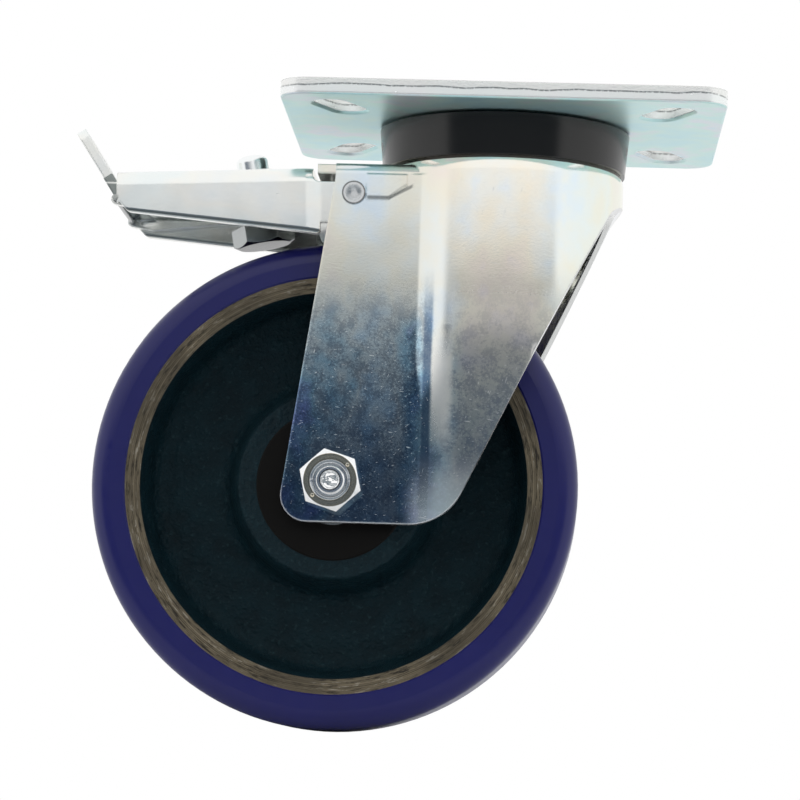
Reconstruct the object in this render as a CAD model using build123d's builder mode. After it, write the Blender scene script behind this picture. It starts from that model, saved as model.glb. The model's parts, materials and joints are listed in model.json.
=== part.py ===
"""Swivel castor: top plate, pressed fork, pedal brake with swivel lock, and a cast wheel.

Frame: the origin is the centre of the plate's top face, on the swivel axis. +X runs along the
plate, away from the side to which the wheel trails. +Y runs across it and +Z is up. Millimetres.
"""
import math
import os

from build123d import *

os.makedirs("parts", exist_ok=True)

# ---------------------------------------------------------------- driving dimensions

# Mounting plate
plate_length = 135.0
plate_width = 110.0
plate_thickness = 5.0
plate_corner = 9.0
plate_edge_round = 0.7
slot_width = 11.0
slot_outer_spacing = (105.0, 80.0)
slot_inner_spacing = (95.0, 60.0)
slot_lead_in = 0.8

# Swivel head
dish_depth = 8.0
dish_wall = 4.4
dish_corner = 1.5
upper_ball = 9.0
upper_pitch_radius = 24.0
lower_ball = 7.0
lower_pitch_radius = 17.0
ball_play = 0.05
ball_spacing = 1.05
head_gap = 8.0
lower_gap = 5.0
lower_race_thickness = 4.5
lower_race_radius = 23.0
lower_race_rim = 1.7
lower_race_lip = 2.6
sleeve_wall = 2.9
sleeve_clearance = 0.4
lock_ring_radius = 26.0
lock_ring_thickness = 4.0
lock_notches = 24
lock_notch_width = 3.2
lock_notch_depth = 5.5

# Bolts: thread diameter, width across flats, head height and nut height
king_thread, king_flats, king_head, king_nut_height = 12.0, 18.0, 7.5, 10.0
axle_thread, axle_flats, axle_head, axle_nut_height = 10.0, 17.0, 6.4, 8.0
axle_nut_turn = 42.5
nut_dot_radius = 7.0
nut_dot_diameter = 1.0
nut_dot_depth = 0.3
axle_centre_diameter = 5.8
axle_centre_depth = 1.5
washer_radius = 12.0
washer_thickness = 2.0
thread_play = 0.1
thread_chamfer = 1.0
king_bolt_end = 2.0
axle_bolt_end = 0.3

# Fork, pressed from one sheet
fork_sheet = 3.0
fork_inner_width = 50.0
cup_radius = 37.7
cup_shoulder = 10.0
lip_drop = 7.6
lip_reach = 57.0
lip_half_width = 23.0
leg_bend = 3.4
leg_crease = 10.0
leg_margin_below = 12.2
leg_back_top = 51.1
leg_back_bottom = 65.7
leg_back_start = 2.0
leg_back_corner = 8.0
leg_front_foot = 14.4
leg_front_angle = 64.1
leg_front_corner = 18.0
leg_front_arch = 12.0
leg_front_top = 14.0
pad_height = 0.4
pad_depth = 8.0
pad_slope = 6.0
pad_rise = 4.4
runout_start = 58.0
runout_length = 56.0
runout_left = 0.3
runout_steps = 6

# Seal ring round the head
seal_top_radius = 39.2
seal_bottom_radius = 38.0
seal_wall = 2.0
seal_lip_width = 5.0
seal_gap = 1.0
seal_height = 12.7
seal_foot = 2.5

# Wheel and its position
trail = 49.0
axle_drop = 119.5
tread_radius = 75.0
tread_width = 40.0
tread_corner = 6.0
tread_thickness = 10.8
rim_width = 39.0
rim_ring = 4.7
rim_draft = 3.5
web_thickness = 10.0
web_fillet = 5.0
hub_face_radius = 29.0
hub_root_radius = 33.5
hub_edge_round = 1.0
hub_width = 42.0

# Bearings (20 x 47 x 14)
bearing_bore = 20.0
bearing_outside = 47.0
bearing_width = 14.0
bearing_ball = 7.94
bearing_balls_each = 8
bearing_step = 3.0
inner_race_wall = 4.2
outer_race_wall = 4.1
bearing_spread = 10.0
tube_fit = 0.05
spacer_wall = 2.0
cover_clearance = 0.5
cage_wall = 2.4
cage_reach = 1.0
cage_back = 1.2

# Brake pedal
pedal_sheet = 2.5
pedal_half_width = 26.0
pedal_bend = 4.6
pedal_side_gap = 0.5
pedal_tip = 119.0
pedal_tip_drop = 24.6
pedal_tip_notch = 2.8
pedal_slope = 2.63
pedal_lip_gap = 1.4
pedal_ear_gap = 2.7
pedal_ear_reach = 8.8
pedal_ear_below = 8.8
pedal_ear_corner = 2.0
pedal_heel = 55.5
pedal_heel_drop = 42.8
pedal_heel_corner = 1.2
pedal_toe = 114.8
pedal_toe_drop = 37.5
pedal_toe_corner = 3.0
pedal_nose = 1.6
joggle_start = 60.5
joggle_length = 4.5
joggle_round = 2.5
pivot_back = 45.3
pivot_drop = 30.2
pivot_diameter = 6.5
pivot_head_diameter = 7.2
pivot_head_height = 0.8
pivot_recess_diameter = 4.8
pivot_recess_depth = 3.0
pivot_play = 0.05

# Brake screw, its welded boss and its lock nut
brake_screw_place = 18.4
brake_screw_angle = 11.0
brake_screw_dome = 2.2
brake_gap = 5.4
brake_screw_reach = 28.9
brake_head_turn = 30.0
boss_diameter = 16.0
boss_height = 6.5
boss_foot = 17.0
boss_edge = 1.2
thin_nut_height = 6.0

# Lock plate under the pedal, and the spring that lifts the pedal
lock_plate_sheet = 3.0
lock_plate_drop = 35.0
lock_plate_back = 58.0
lock_plate_shoulder = 38.0
lock_tongue_width = 10.0
lock_tongue_shoulder = 30.0
lock_tongue_end = 20.5
lock_tooth_width = 2.2
lock_tooth_length = 4.3
lock_tooth_height = 3.5
lock_tooth_gap = 0.5
spring_sheet = 1.2
spring_width = 16.0
spring_gap = 0.1
spring_top_run = 6.3
spring_bottom_run = 11.8

# Release lever in the pedal's tip
release_sheet = 3.1
release_lug_sheet = 2.4
release_lug_gap = 0.7
release_pin_diameter = 1.6
release_pin_back = 119.1
release_pin_drop = 33.2
release_pin_head = 0.5
release_angle = 56.7
release_tip_back = 132.5
release_tip_drop = 10.1
release_length = 26.0
release_narrow_length = 19.0
release_tongue_width = 28.0
release_tip_round = 3.0
release_eye = 1.6
release_arm_back = 84.0
release_arm_height = 2.1
release_arm_drop = 31.6
release_arm_root = 6.5
release_arm_depth = 2.9
release_slot_length = 5.0
release_slot_width = 1.6
release_slot_offset = 5.1
release_slot_turn = 7.0

# ---------------------------------------------------------------- places worked out from them

fork_half = fork_inner_width / 2 + fork_sheet
king_radius = king_thread / 2
axle_radius = axle_thread / 2
sleeve_radius = king_radius + thread_play + sleeve_wall
upper_groove = upper_ball / 2 + ball_play
lower_groove = lower_ball / 2 + ball_play

plate_bottom = -plate_thickness
dish_bottom = -dish_depth - dish_wall
upper_ball_z = plate_bottom - upper_groove
crown_top = plate_bottom - head_gap
crown_bottom = crown_top - fork_sheet
lower_race_top = crown_bottom - lower_gap
lower_ball_z = crown_bottom - lower_gap / 2
lower_race_bottom = lower_race_top - lower_race_thickness
lock_ring_bottom = lower_race_bottom - lock_ring_thickness
washer_bottom = lock_ring_bottom - washer_thickness
king_nut_bottom = washer_bottom - king_nut_height
lip_top = crown_top - lip_drop
lip_bottom = lip_top - fork_sheet
leg_bottom = -axle_drop - leg_margin_below
runout_top = crown_top - runout_start
# The flat legs end here, where the hollow crease of the cup's skirt begins.
crease_reach = math.sqrt((cup_radius + leg_crease) ** 2 - (fork_half + leg_crease) ** 2)
# Everything in front of this line is cut away by the legs' side outline.
runout_front = (runout_top - leg_bottom) / math.tan(math.radians(leg_front_angle)) - leg_front_foot + 2

bearing_inner_y = bearing_spread / 2
bearing_outer_y = bearing_inner_y + bearing_width
bearing_mid_y = bearing_inner_y + bearing_width / 2
inner_race_radius = bearing_bore / 2 + inner_race_wall
outer_race_radius = bearing_outside / 2 - outer_race_wall
bearing_pitch = (inner_race_radius + outer_race_radius) / 2
bearing_groove = bearing_ball / 2 + ball_play

rim_radius = tread_radius - tread_thickness
wheel_centre = Vector(-trail, 0, -axle_drop)
wheel_axis = Axis(wheel_centre, (0, 1, 0))
# On this plane the first coordinate is along the axle and the second is the radius.
wheel_section = Plane(origin=wheel_centre, x_dir=(0, 1, 0), z_dir=(1, 0, 0))
near_side = Plane(origin=(0, -fork_half, 0), x_dir=(1, 0, 0), z_dir=(0, -1, 0))
far_side = Plane(origin=(0, fork_half, 0), x_dir=(-1, 0, 0), z_dir=(0, 1, 0))

pivot = (-pivot_back, -pivot_drop)
release_pin = (-release_pin_back, -release_pin_drop)
flange_inside = fork_inner_width / 2 - pedal_side_gap - pedal_sheet
screw_tilt = math.radians(brake_screw_angle)
screw_direction = Vector(-math.sin(screw_tilt), 0, math.cos(screw_tilt))
screw_place = math.radians(brake_screw_place)
screw_radius = tread_radius + brake_gap
screw_face = wheel_centre + Vector(-math.sin(screw_place), 0, math.cos(screw_place)) * screw_radius


# ---------------------------------------------------------------- shapes used more than once

def keep(piece, name):
    """Label a finished piece and write it as its own STEP file."""
    piece.label = name
    export_step(piece, f"parts/{name}.step")


def turned(section, axis, points):
    """Solid turned about an axis from a closed polygon on the section plane."""
    with BuildPart() as ring:
        with BuildSketch(section):
            with BuildLine():
                Polyline(*points, close=True)
            make_face()
        revolve(axis=axis)
    return ring.part


def plain_ring(section, axis, start, end, inner, outer):
    """Ring of square section between two places along its axis."""
    return turned(section, axis, [(start, inner), (end, inner), (end, outer), (start, outer)])


def groove(section, axis, place, radius):
    """Round groove in which a row of balls runs, as the solid that is cut away."""
    with BuildPart() as track:
        with BuildSketch(section):
            with Locations(place):
                Circle(radius)
        revolve(axis=axis)
    return track.part


def at_place(side_plane, place):
    """One of the fork's side planes, with its origin moved to a place seen from the side."""
    across, height = place
    return Plane(origin=(across, side_plane.origin.Y, height), x_dir=side_plane.x_dir, z_dir=side_plane.z_dir)


def hex_block(plane, flats, height, turn=0):
    """Hexagon standing on a plane, with its outer corners turned off at 30 degrees."""
    corner = flats / math.sqrt(3)
    turned_radius = 0.95 * flats / 2
    turned_height = (corner - turned_radius) * math.tan(math.radians(30))
    side = Plane(origin=plane.origin, x_dir=plane.x_dir, z_dir=-plane.y_dir)
    blank = turned(side, Axis(plane.origin, plane.z_dir), [
        (0, 0), (corner, 0), (corner, height - turned_height), (turned_radius, height), (0, height),
    ])
    with BuildPart() as block:
        with BuildSketch(plane):
            RegularPolygon(flats / 2, 6, major_radius=False, rotation=turn)
        extrude(amount=height)
        add(blank, mode=Mode.INTERSECT)
    return block.part


def ball_row(plane, pitch_radius, diameter, count):
    """Ring of balls on one plane, each a solid of its own."""
    with BuildPart(plane) as row:
        with PolarLocations(pitch_radius, count):
            Sphere(diameter / 2)
    return row.part


def balls_that_fit(pitch_radius, diameter):
    """Number of balls in a full ring, with a little room between them."""
    return int(math.pi / math.asin(diameter * ball_spacing / (2 * pitch_radius)))


# ---------------------------------------------------------------- mounting plate

slot_outer_end = Vector(*slot_outer_spacing) / 2
slot_inner_end = Vector(*slot_inner_spacing) / 2
slot_middle = (slot_outer_end + slot_inner_end) / 2
slot_run = slot_outer_end - slot_inner_end
slot_turn = math.degrees(math.atan2(slot_run.Y, slot_run.X))


def slots(width):
    """The four slots, which point outwards from the plate's middle."""
    with BuildSketch(mode=Mode.PRIVATE) as pattern:
        for along, across in ((1, 1), (1, -1), (-1, 1), (-1, -1)):
            with Locations((along * slot_middle.X, across * slot_middle.Y)):
                SlotCenterToCenter(slot_run.length, width, rotation=along * across * slot_turn)
    return pattern.sketch


race_wall = upper_pitch_radius - upper_groove
dish_radius = race_wall - dish_wall
with BuildPart() as mounting_plate:
    with BuildSketch():
        RectangleRounded(plate_length, plate_width, plate_corner)
    extrude(amount=-plate_thickness)
    fillet(mounting_plate.faces().sort_by(Axis.Z)[0].outer_wire().edges(), plate_edge_round)
    # The middle is pressed down into a dish. Its outer wall is the race of the upper balls.
    with BuildSketch(Plane.XZ):
        with BuildLine():
            race = CenterArc((upper_pitch_radius, upper_ball_z), upper_groove, 90, 90)
            Polyline(
                race @ 1,
                (race_wall, dish_bottom + dish_corner),
                (race_wall - dish_corner, dish_bottom),
                (0, dish_bottom),
                (0, plate_bottom / 2),
                (upper_pitch_radius, plate_bottom / 2),
                race @ 0,
            )
        make_face()
    revolve(axis=Axis.Z)
    add(
        turned(Plane.XZ, Axis.Z, [
            (0, 0),
            (dish_radius + dish_corner, 0),
            (dish_radius, -dish_corner),
            (dish_radius, -dish_depth + dish_corner),
            (dish_radius - dish_corner, -dish_depth),
            (0, -dish_depth),
        ]),
        mode=Mode.SUBTRACT,
    )
    with BuildSketch():
        add(slots(slot_width))
        Circle(king_radius + thread_play)
    extrude(amount=dish_bottom, mode=Mode.SUBTRACT)
    # The punch leaves a rolled edge where it enters, on the underside.
    with BuildSketch(Plane.XY.offset(plate_bottom)):
        add(slots(slot_width + 2 * slot_lead_in))
    extrude(amount=slot_lead_in, taper=45, mode=Mode.SUBTRACT)
keep(mounting_plate.part, "mounting_plate")

# ---------------------------------------------------------------- king bolt and what it clamps

with BuildPart() as king_bolt:
    add(hex_block(Plane.XY.offset(-dish_depth), king_flats, king_head))
    with BuildSketch(Plane.XY.offset(-dish_depth)):
        Circle(king_radius)
    extrude(amount=king_nut_bottom + dish_depth - king_bolt_end)
    chamfer(king_bolt.faces().sort_by(Axis.Z)[0].edges(), thread_chamfer)
keep(king_bolt.part, "king_bolt")

with BuildPart() as king_sleeve:
    with BuildSketch(Plane.XY.offset(dish_bottom)):
        Circle(sleeve_radius)
        Circle(king_radius + thread_play, mode=Mode.SUBTRACT)
    extrude(amount=lower_race_top - dish_bottom)
keep(king_sleeve.part, "king_sleeve")

# The lower race is a pressed cup with a grooved floor and a rim that keeps the grease in.
with BuildPart() as lower_race:
    add(
        turned(Plane.XZ, Axis.Z, [
            (king_radius + thread_play, lower_race_bottom),
            (lower_race_radius - lower_race_rim, lower_race_bottom),
            (lower_race_radius, lower_race_bottom + lower_race_rim),
            (lower_race_radius, lower_race_top + lower_race_lip),
            (lower_race_radius - lower_race_rim, lower_race_top + lower_race_lip),
            (lower_race_radius - lower_race_rim, lower_race_top),
            (king_radius + thread_play, lower_race_top),
        ])
    )
    add(groove(Plane.XZ, Axis.Z, (lower_pitch_radius, lower_ball_z), lower_groove), mode=Mode.SUBTRACT)
keep(lower_race.part, "lower_race")

with BuildPart() as lock_ring:
    with BuildSketch(Plane.XY.offset(lock_ring_bottom)):
        Circle(lock_ring_radius)
        Circle(king_radius + thread_play, mode=Mode.SUBTRACT)
        with PolarLocations(lock_ring_radius - lock_notch_depth / 2, lock_notches):
            SlotOverall(lock_notch_depth + lock_notch_width, lock_notch_width, mode=Mode.SUBTRACT)
    extrude(amount=lock_ring_thickness)
keep(lock_ring.part, "lock_ring")

with BuildPart() as king_washer:
    with BuildSketch(Plane.XY.offset(washer_bottom)):
        Circle(washer_radius)
        Circle(king_radius + thread_play, mode=Mode.SUBTRACT)
    extrude(amount=washer_thickness)
keep(king_washer.part, "king_washer")

with BuildPart() as king_nut:
    add(hex_block(Plane(origin=(0, 0, washer_bottom), z_dir=(0, 0, -1)), king_flats, king_nut_height))
    with BuildSketch(Plane.XY.offset(washer_bottom)):
        Circle(king_radius + thread_play)
    extrude(amount=-king_nut_height, mode=Mode.SUBTRACT)
keep(king_nut.part, "king_nut")

# ---------------------------------------------------------------- the two rows of balls

for name, height, pitch_radius, diameter in (
    ("upper_balls", upper_ball_z, upper_pitch_radius, upper_ball),
    ("lower_balls", lower_ball_z, lower_pitch_radius, lower_ball),
):
    count = balls_that_fit(pitch_radius, diameter)
    keep(ball_row(Plane.XY.offset(height), pitch_radius, diameter, count), name)

# ---------------------------------------------------------------- fork

def skirt_arcs(height):
    """Centre and radius of the skirt's outer arc in plan, and radius of the hollow arc beside it.

    Lower down the skirt stands out less from the flat legs. Both arcs grow as it sinks in, so
    that they keep meeting at the same place along the leg.
    """
    done = min(max((runout_top - height) / runout_length, 0), 1)
    bulge = runout_left + (cup_radius - fork_half - runout_left) * (1 - done**2 * (3 - 2 * done))
    both_radii = (crease_reach**2 + bulge**2) / (2 * bulge)
    hollow = both_radii * leg_crease / (cup_radius + leg_crease)
    return fork_half + bulge + hollow - both_radii, both_radii - hollow, hollow


def leg_section(inset, height):
    """Plan of both legs at a height, moved in by the inset and closed by a line in front."""
    centre, skirt_radius, hollow = skirt_arcs(height)
    rise = fork_half + hollow - centre
    radius = skirt_radius - inset
    share = radius / (skirt_radius + hollow)
    front = centre + math.sqrt(radius**2 - runout_front**2)
    half = fork_half - inset
    with BuildSketch(mode=Mode.PRIVATE) as section:
        with BuildLine():
            for side in (-1, 1):
                flat_end = (-crease_reach, side * half)
                hollow_end = (-crease_reach * share, side * (centre + rise * share))
                Line((-blank_reach, side * half), flat_end)
                RadiusArc(flat_end, hollow_end, -side * (hollow + inset))
                RadiusArc(hollow_end, (runout_front, side * front), side * radius)
            Line((runout_front, -front), (runout_front, front))
            Line((-blank_reach, -half), (-blank_reach, half))
        make_face()
    return section.sketch


def fork_form(inset):
    """Solid form of the fork before its outline is cut, moved in by the inset on every side."""
    radius = cup_radius - inset
    shoulder = cup_shoulder - inset
    top = crown_top - inset
    half = fork_half - inset
    hollow = leg_crease + inset
    share = radius / (radius + hollow)
    bend_foot = lip_top - leg_bend
    with BuildPart() as form:
        # flat legs, bent down from the sheet that makes the crown's lip
        with BuildSketch(Plane.XY.offset(lip_top - inset)):
            with Locations((-blank_reach / 2, 0)):
                Rectangle(blank_reach, 2 * half)
        extrude(amount=runout_top - lip_top + inset)
        fillet(form.edges().filter_by(Axis.X).group_by(Axis.Z)[-1], leg_bend - inset)
        # drawn cup with its rounded shoulder
        with BuildSketch(Plane.XZ):
            with BuildLine():
                Line((0, top), (radius - shoulder, top))
                RadiusArc((radius - shoulder, top), (radius, top - shoulder), shoulder)
                Polyline((radius, top - shoulder), (radius, runout_top), (0, runout_top), (0, top))
            make_face()
        revolve(axis=Axis.Z)
        # hollow corners where the cup's skirt meets the flat legs
        with BuildSketch(Plane.XY.offset(bend_foot)):
            for side in (-1, 1):
                skirt_end = (-crease_reach * share, side * (half + hollow) * share)
                with BuildLine():
                    RadiusArc((-crease_reach, side * half), skirt_end, -side * hollow)
                    Polyline(
                        skirt_end,
                        (skirt_end[0], side * (half - fork_sheet)),
                        (-crease_reach, side * (half - fork_sheet)),
                        (-crease_reach, side * half),
                    )
                make_face()
        extrude(amount=runout_top - bend_foot)
        # lower down, the skirt flattens until it is in line with the legs
        for step in range(runout_steps + 1):
            height = runout_top - runout_length * step / runout_steps
            with BuildSketch(Plane.XY.offset(height)):
                add(leg_section(inset, height))
        loft()
        with BuildSketch(Plane.XY.offset(height)):
            add(leg_section(inset, height))
        extrude(amount=leg_bottom - fork_sheet - runout_top + runout_length)
    return form.part


def ear_pad():
    """Low pad pressed out of a leg's top corner, from the rivet to the crease, with sloping sides."""
    pad_top = lip_top - leg_bend
    back = -pivot_back + pivot_head_diameter / 2
    with BuildPart() as pad:
        with BuildSketch(near_side):
            with BuildLine():
                Polyline(
                    (back, pad_top),
                    (back, pad_top - pad_depth),
                    (-crease_reach - pad_slope, pad_top - pad_depth),
                    (-crease_reach, pad_top - pad_depth + pad_rise),
                    (-crease_reach, pad_top),
                    close=True,
                )
            make_face()
        extrude(amount=pad_height, taper=45)
    return pad.part


blank_reach = leg_back_bottom + 2 * leg_back_corner
arch_top = crown_top - leg_front_top
arch_corner = (arch_top - leg_bottom) / math.tan(math.radians(leg_front_angle)) - leg_front_foot
with BuildPart() as fork:
    add(fork_form(0))
    add(fork_form(fork_sheet), mode=Mode.SUBTRACT)
    # side outline of the legs and of the lip over the pedal
    with BuildSketch(Plane.XZ) as side_outline:
        with BuildLine():
            Polyline(
                (arch_corner, arch_top),
                (cup_radius + leg_front_arch, arch_top),
                (cup_radius + leg_front_arch, crown_top + leg_bend),
                (-lip_reach, crown_top + leg_bend),
                (-lip_reach, lip_bottom),
                (-leg_back_top, lip_bottom),
                (-leg_back_top, lip_bottom - leg_back_start),
                (-leg_back_bottom, leg_bottom),
                (-leg_front_foot, leg_bottom),
                close=True,
            )
        make_face()
        fillet(side_outline.vertices().group_by(Axis.Y)[0].sort_by(Axis.X)[0], leg_back_corner)
        fillet(side_outline.vertices().sort_by_distance((-leg_front_foot, leg_bottom))[0], leg_front_corner)
        fillet(side_outline.vertices().sort_by_distance((arch_corner, arch_top))[0], leg_front_arch)
    extrude(amount=2 * fork_half, both=True, mode=Mode.INTERSECT)
    # the lip is narrower than the legs and ends behind them
    with BuildSketch(Plane.XY.offset(crown_top)):
        for side in (-1, 1):
            with Locations((-leg_back_top, side * lip_half_width)):
                Rectangle(blank_reach, fork_half, align=(Align.MAX, Align.MIN if side > 0 else Align.MAX))
    extrude(amount=lip_bottom - crown_top, mode=Mode.SUBTRACT)
    add(ear_pad())
    add(mirror(ear_pad(), about=Plane.XZ))
    # hole for the sleeve, and the grooves in which both rows of balls run
    with BuildSketch(Plane.XY.offset(crown_top)):
        Circle(sleeve_radius + sleeve_clearance)
    extrude(amount=crown_bottom - crown_top, mode=Mode.SUBTRACT)
    add(groove(Plane.XZ, Axis.Z, (upper_pitch_radius, upper_ball_z), upper_groove), mode=Mode.SUBTRACT)
    add(groove(Plane.XZ, Axis.Z, (lower_pitch_radius, lower_ball_z), lower_groove), mode=Mode.SUBTRACT)
    # holes for the axle bolt and the pedal's rivet
    with BuildSketch(Plane.XZ):
        with Locations((-trail, -axle_drop)):
            Circle(axle_radius + thread_play)
        with Locations(pivot):
            Circle(pivot_diameter / 2)
    extrude(amount=2 * fork_half, both=True, mode=Mode.SUBTRACT)
keep(fork.part, "fork")

# ---------------------------------------------------------------- seal ring

# Its foot rests on the cup's shoulder, and its lip covers the gap over the upper balls.
seal_top = plate_bottom - seal_gap
seal_bottom = seal_top - seal_height
shoulder_centre = Vector(cup_radius - cup_shoulder, crown_top - cup_shoulder)
foot_top = seal_bottom + seal_foot


def on_shoulder(height):
    """Point of the cup's outer shoulder at a height."""
    rise = height - shoulder_centre.Y
    return (shoulder_centre.X + math.sqrt(cup_shoulder**2 - rise**2), height)


with BuildPart() as seal_ring:
    with BuildSketch(Plane.XZ):
        with BuildLine():
            RadiusArc(on_shoulder(foot_top), on_shoulder(seal_bottom), cup_shoulder)
            Polyline(
                on_shoulder(seal_bottom),
                (seal_bottom_radius, seal_bottom),
                (seal_top_radius, seal_top),
                (seal_top_radius - seal_wall - seal_lip_width, seal_top),
                (seal_top_radius - seal_wall - seal_lip_width, seal_top - seal_wall),
                (seal_top_radius - seal_wall, seal_top - seal_wall),
                (seal_bottom_radius - seal_wall / 2, foot_top),
                on_shoulder(foot_top),
            )
        make_face()
    revolve(axis=Axis.Z)
keep(seal_ring.part, "seal_ring")

# ---------------------------------------------------------------- axle

axle_place = (-trail, -axle_drop)
with BuildPart() as axle_bolt:
    add(hex_block(at_place(far_side, axle_place), axle_flats, axle_head))
    with BuildSketch(at_place(far_side, axle_place)):
        Circle(axle_radius)
    extrude(amount=-2 * fork_half - axle_nut_height - axle_bolt_end)
    chamfer(axle_bolt.faces().sort_by(Axis.Y)[0].edges(), thread_chamfer)
    with BuildSketch(at_place(near_side, axle_place).offset(axle_nut_height + axle_bolt_end)):
        Circle(axle_centre_diameter / 2)
    extrude(amount=-axle_centre_depth, taper=20, mode=Mode.SUBTRACT)
keep(axle_bolt.part, "axle_bolt")

with BuildPart() as axle_nut:
    add(hex_block(at_place(near_side, axle_place), axle_flats, axle_nut_height, axle_nut_turn))
    with BuildSketch(at_place(near_side, axle_place)):
        Circle(axle_radius + thread_play)
    extrude(amount=axle_nut_height, mode=Mode.SUBTRACT)
    with BuildSketch(at_place(near_side, axle_place).offset(axle_nut_height)):
        Circle(axle_radius + thread_play + thread_chamfer)
    extrude(amount=-thread_chamfer, taper=45, mode=Mode.SUBTRACT)
    with BuildSketch(at_place(near_side, axle_place).offset(axle_nut_height)):
        with PolarLocations(nut_dot_radius, 2, start_angle=axle_nut_turn):
            Circle(nut_dot_diameter / 2)
    extrude(amount=-nut_dot_depth, taper=20, mode=Mode.SUBTRACT)
keep(axle_nut.part, "axle_nut")

axle_tube = plain_ring(
    wheel_section,
    wheel_axis,
    -fork_inner_width / 2,
    fork_inner_width / 2,
    axle_radius + thread_play,
    bearing_bore / 2 - tube_fit,
)
keep(axle_tube, "axle_tube")

spacer_radius = bearing_bore / 2 + spacer_wall
spacer_centre = plain_ring(
    wheel_section, wheel_axis, -bearing_inner_y, bearing_inner_y, bearing_bore / 2, spacer_radius
)
keep(spacer_centre, "spacer_centre")

# ---------------------------------------------------------------- bearings, spacers and covers

cover_end = hub_width / 2 + cover_clearance
cage_inner = bearing_pitch - cage_wall / 2
for side, name in ((-1, "near"), (1, "far")):
    inner_y, mid_y, outer_y = side * bearing_inner_y, side * bearing_mid_y, side * bearing_outer_y
    track = groove(wheel_section, wheel_axis, (mid_y, bearing_pitch), bearing_groove)

    spacer = plain_ring(
        wheel_section, wheel_axis, outer_y, side * fork_inner_width / 2, bearing_bore / 2, spacer_radius
    )
    keep(spacer, f"spacer_{name}")

    with BuildPart() as inner_race:
        add(plain_ring(wheel_section, wheel_axis, inner_y, outer_y, bearing_bore / 2, inner_race_radius))
        add(track, mode=Mode.SUBTRACT)
    keep(inner_race.part, f"inner_race_{name}")

    with BuildPart() as outer_race:
        add(plain_ring(wheel_section, wheel_axis, inner_y, outer_y, outer_race_radius, bearing_outside / 2))
        add(track, mode=Mode.SUBTRACT)
    keep(outer_race.part, f"outer_race_{name}")

    ball_plane = Plane(origin=wheel_centre + Vector(0, mid_y, 0), x_dir=(1, 0, 0), z_dir=(0, side, 0))
    keep(ball_row(ball_plane, bearing_pitch, bearing_ball, bearing_balls_each), f"bearing_balls_{name}")

    # The cage is a ring outside the balls, with pockets that snap over their middle.
    with BuildPart() as ball_cage:
        add(plain_ring(
            wheel_section, wheel_axis, mid_y - side * cage_reach, mid_y + side * (bearing_groove + cage_back),
            cage_inner, cage_inner + cage_wall,
        ))
        with Locations(ball_plane):
            with PolarLocations(bearing_pitch, bearing_balls_each):
                Sphere(bearing_groove, mode=Mode.SUBTRACT)
    keep(ball_cage.part, f"ball_cage_{name}")

    bearing_cover = turned(wheel_section, wheel_axis, [
        (outer_y, spacer_radius + cover_clearance),
        (side * cover_end, spacer_radius + cover_clearance),
        (side * cover_end, bearing_outside / 2 - cover_clearance),
        (side * hub_width / 2, bearing_outside / 2),
        (outer_y, bearing_outside / 2),
    ])
    keep(bearing_cover, f"bearing_cover_{name}")

# ---------------------------------------------------------------- wheel

half_core = [
    (bearing_inner_y, bearing_outside / 2 - bearing_step),
    (bearing_inner_y, bearing_outside / 2),
    (hub_width / 2, bearing_outside / 2),
    (hub_width / 2, hub_face_radius),
    (web_thickness / 2, hub_root_radius),
    (web_thickness / 2, rim_radius - rim_ring - rim_draft),
    (rim_width / 2, rim_radius - rim_ring),
    (rim_width / 2, rim_radius),
]
with BuildPart() as wheel_core:
    with BuildSketch(wheel_section) as core_section:
        with BuildLine():
            Polyline(*half_core, *[(-along, radius) for along, radius in reversed(half_core)], close=True)
        make_face()
        web_corners = core_section.vertices().filter_by(
            lambda v: math.isclose(abs(v.X), web_thickness / 2) and v.Y > hub_face_radius
        )
        fillet(web_corners, web_fillet)
        hub_edges = core_section.vertices().filter_by(lambda v: math.isclose(v.Y, hub_face_radius))
        fillet(hub_edges, hub_edge_round)
    revolve(axis=wheel_axis)
keep(wheel_core.part, "wheel_core")

with BuildPart() as tyre:
    with BuildSketch(wheel_section) as tyre_section:
        with BuildLine():
            Polyline(
                (-rim_width / 2, rim_radius),
                (rim_width / 2, rim_radius),
                (tread_width / 2, rim_radius + (tread_width - rim_width) / 2),
                (tread_width / 2, tread_radius),
                (-tread_width / 2, tread_radius),
                (-tread_width / 2, rim_radius + (tread_width - rim_width) / 2),
                close=True,
            )
        make_face()
        fillet(tyre_section.vertices().group_by(Axis.Y)[-1], min(tread_corner, tread_thickness * 0.8))
    revolve(axis=wheel_axis)
keep(tyre.part, "tyre")

# ---------------------------------------------------------------- brake pedal

slope = math.radians(pedal_slope)
pedal_top = Plane(
    origin=(-pedal_tip, 0, -pedal_tip_drop),
    x_dir=(math.cos(slope), 0, math.sin(slope)),
    z_dir=(-math.sin(slope), 0, math.cos(slope)),
)
ear_half_width = fork_inner_width / 2 - pedal_side_gap
pedal_depth = pedal_heel_drop - pedal_tip_drop + pedal_toe_corner


def pedal_form(inset):
    """Channel that narrows where it enters the fork, moved in by the inset on top and sides."""
    half_plan = [
        (0, pedal_half_width - inset),
        (pedal_tip - joggle_start, pedal_half_width - inset),
        (pedal_tip - joggle_start + joggle_length, ear_half_width - inset),
        (pedal_tip, ear_half_width - inset),
    ]
    with BuildPart() as form:
        with BuildSketch(pedal_top.offset(-inset)) as plan:
            with BuildLine():
                Polyline(*half_plan, *[(along, -across) for along, across in reversed(half_plan)], close=True)
            make_face()
            corners = [(along, side * across) for along, across in half_plan[1:3] for side in (-1, 1)]
            fillet([plan.vertices().sort_by_distance(corner)[0] for corner in corners], joggle_round)
        extrude(amount=-pedal_depth)
        top = form.faces().sort_by(Axis.Z)[-1]
        fillet(top.edges().filter_by(lambda e: abs(e.tangent_at(0.5).Y) < 0.9), pedal_bend - inset)
    return form.part


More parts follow.
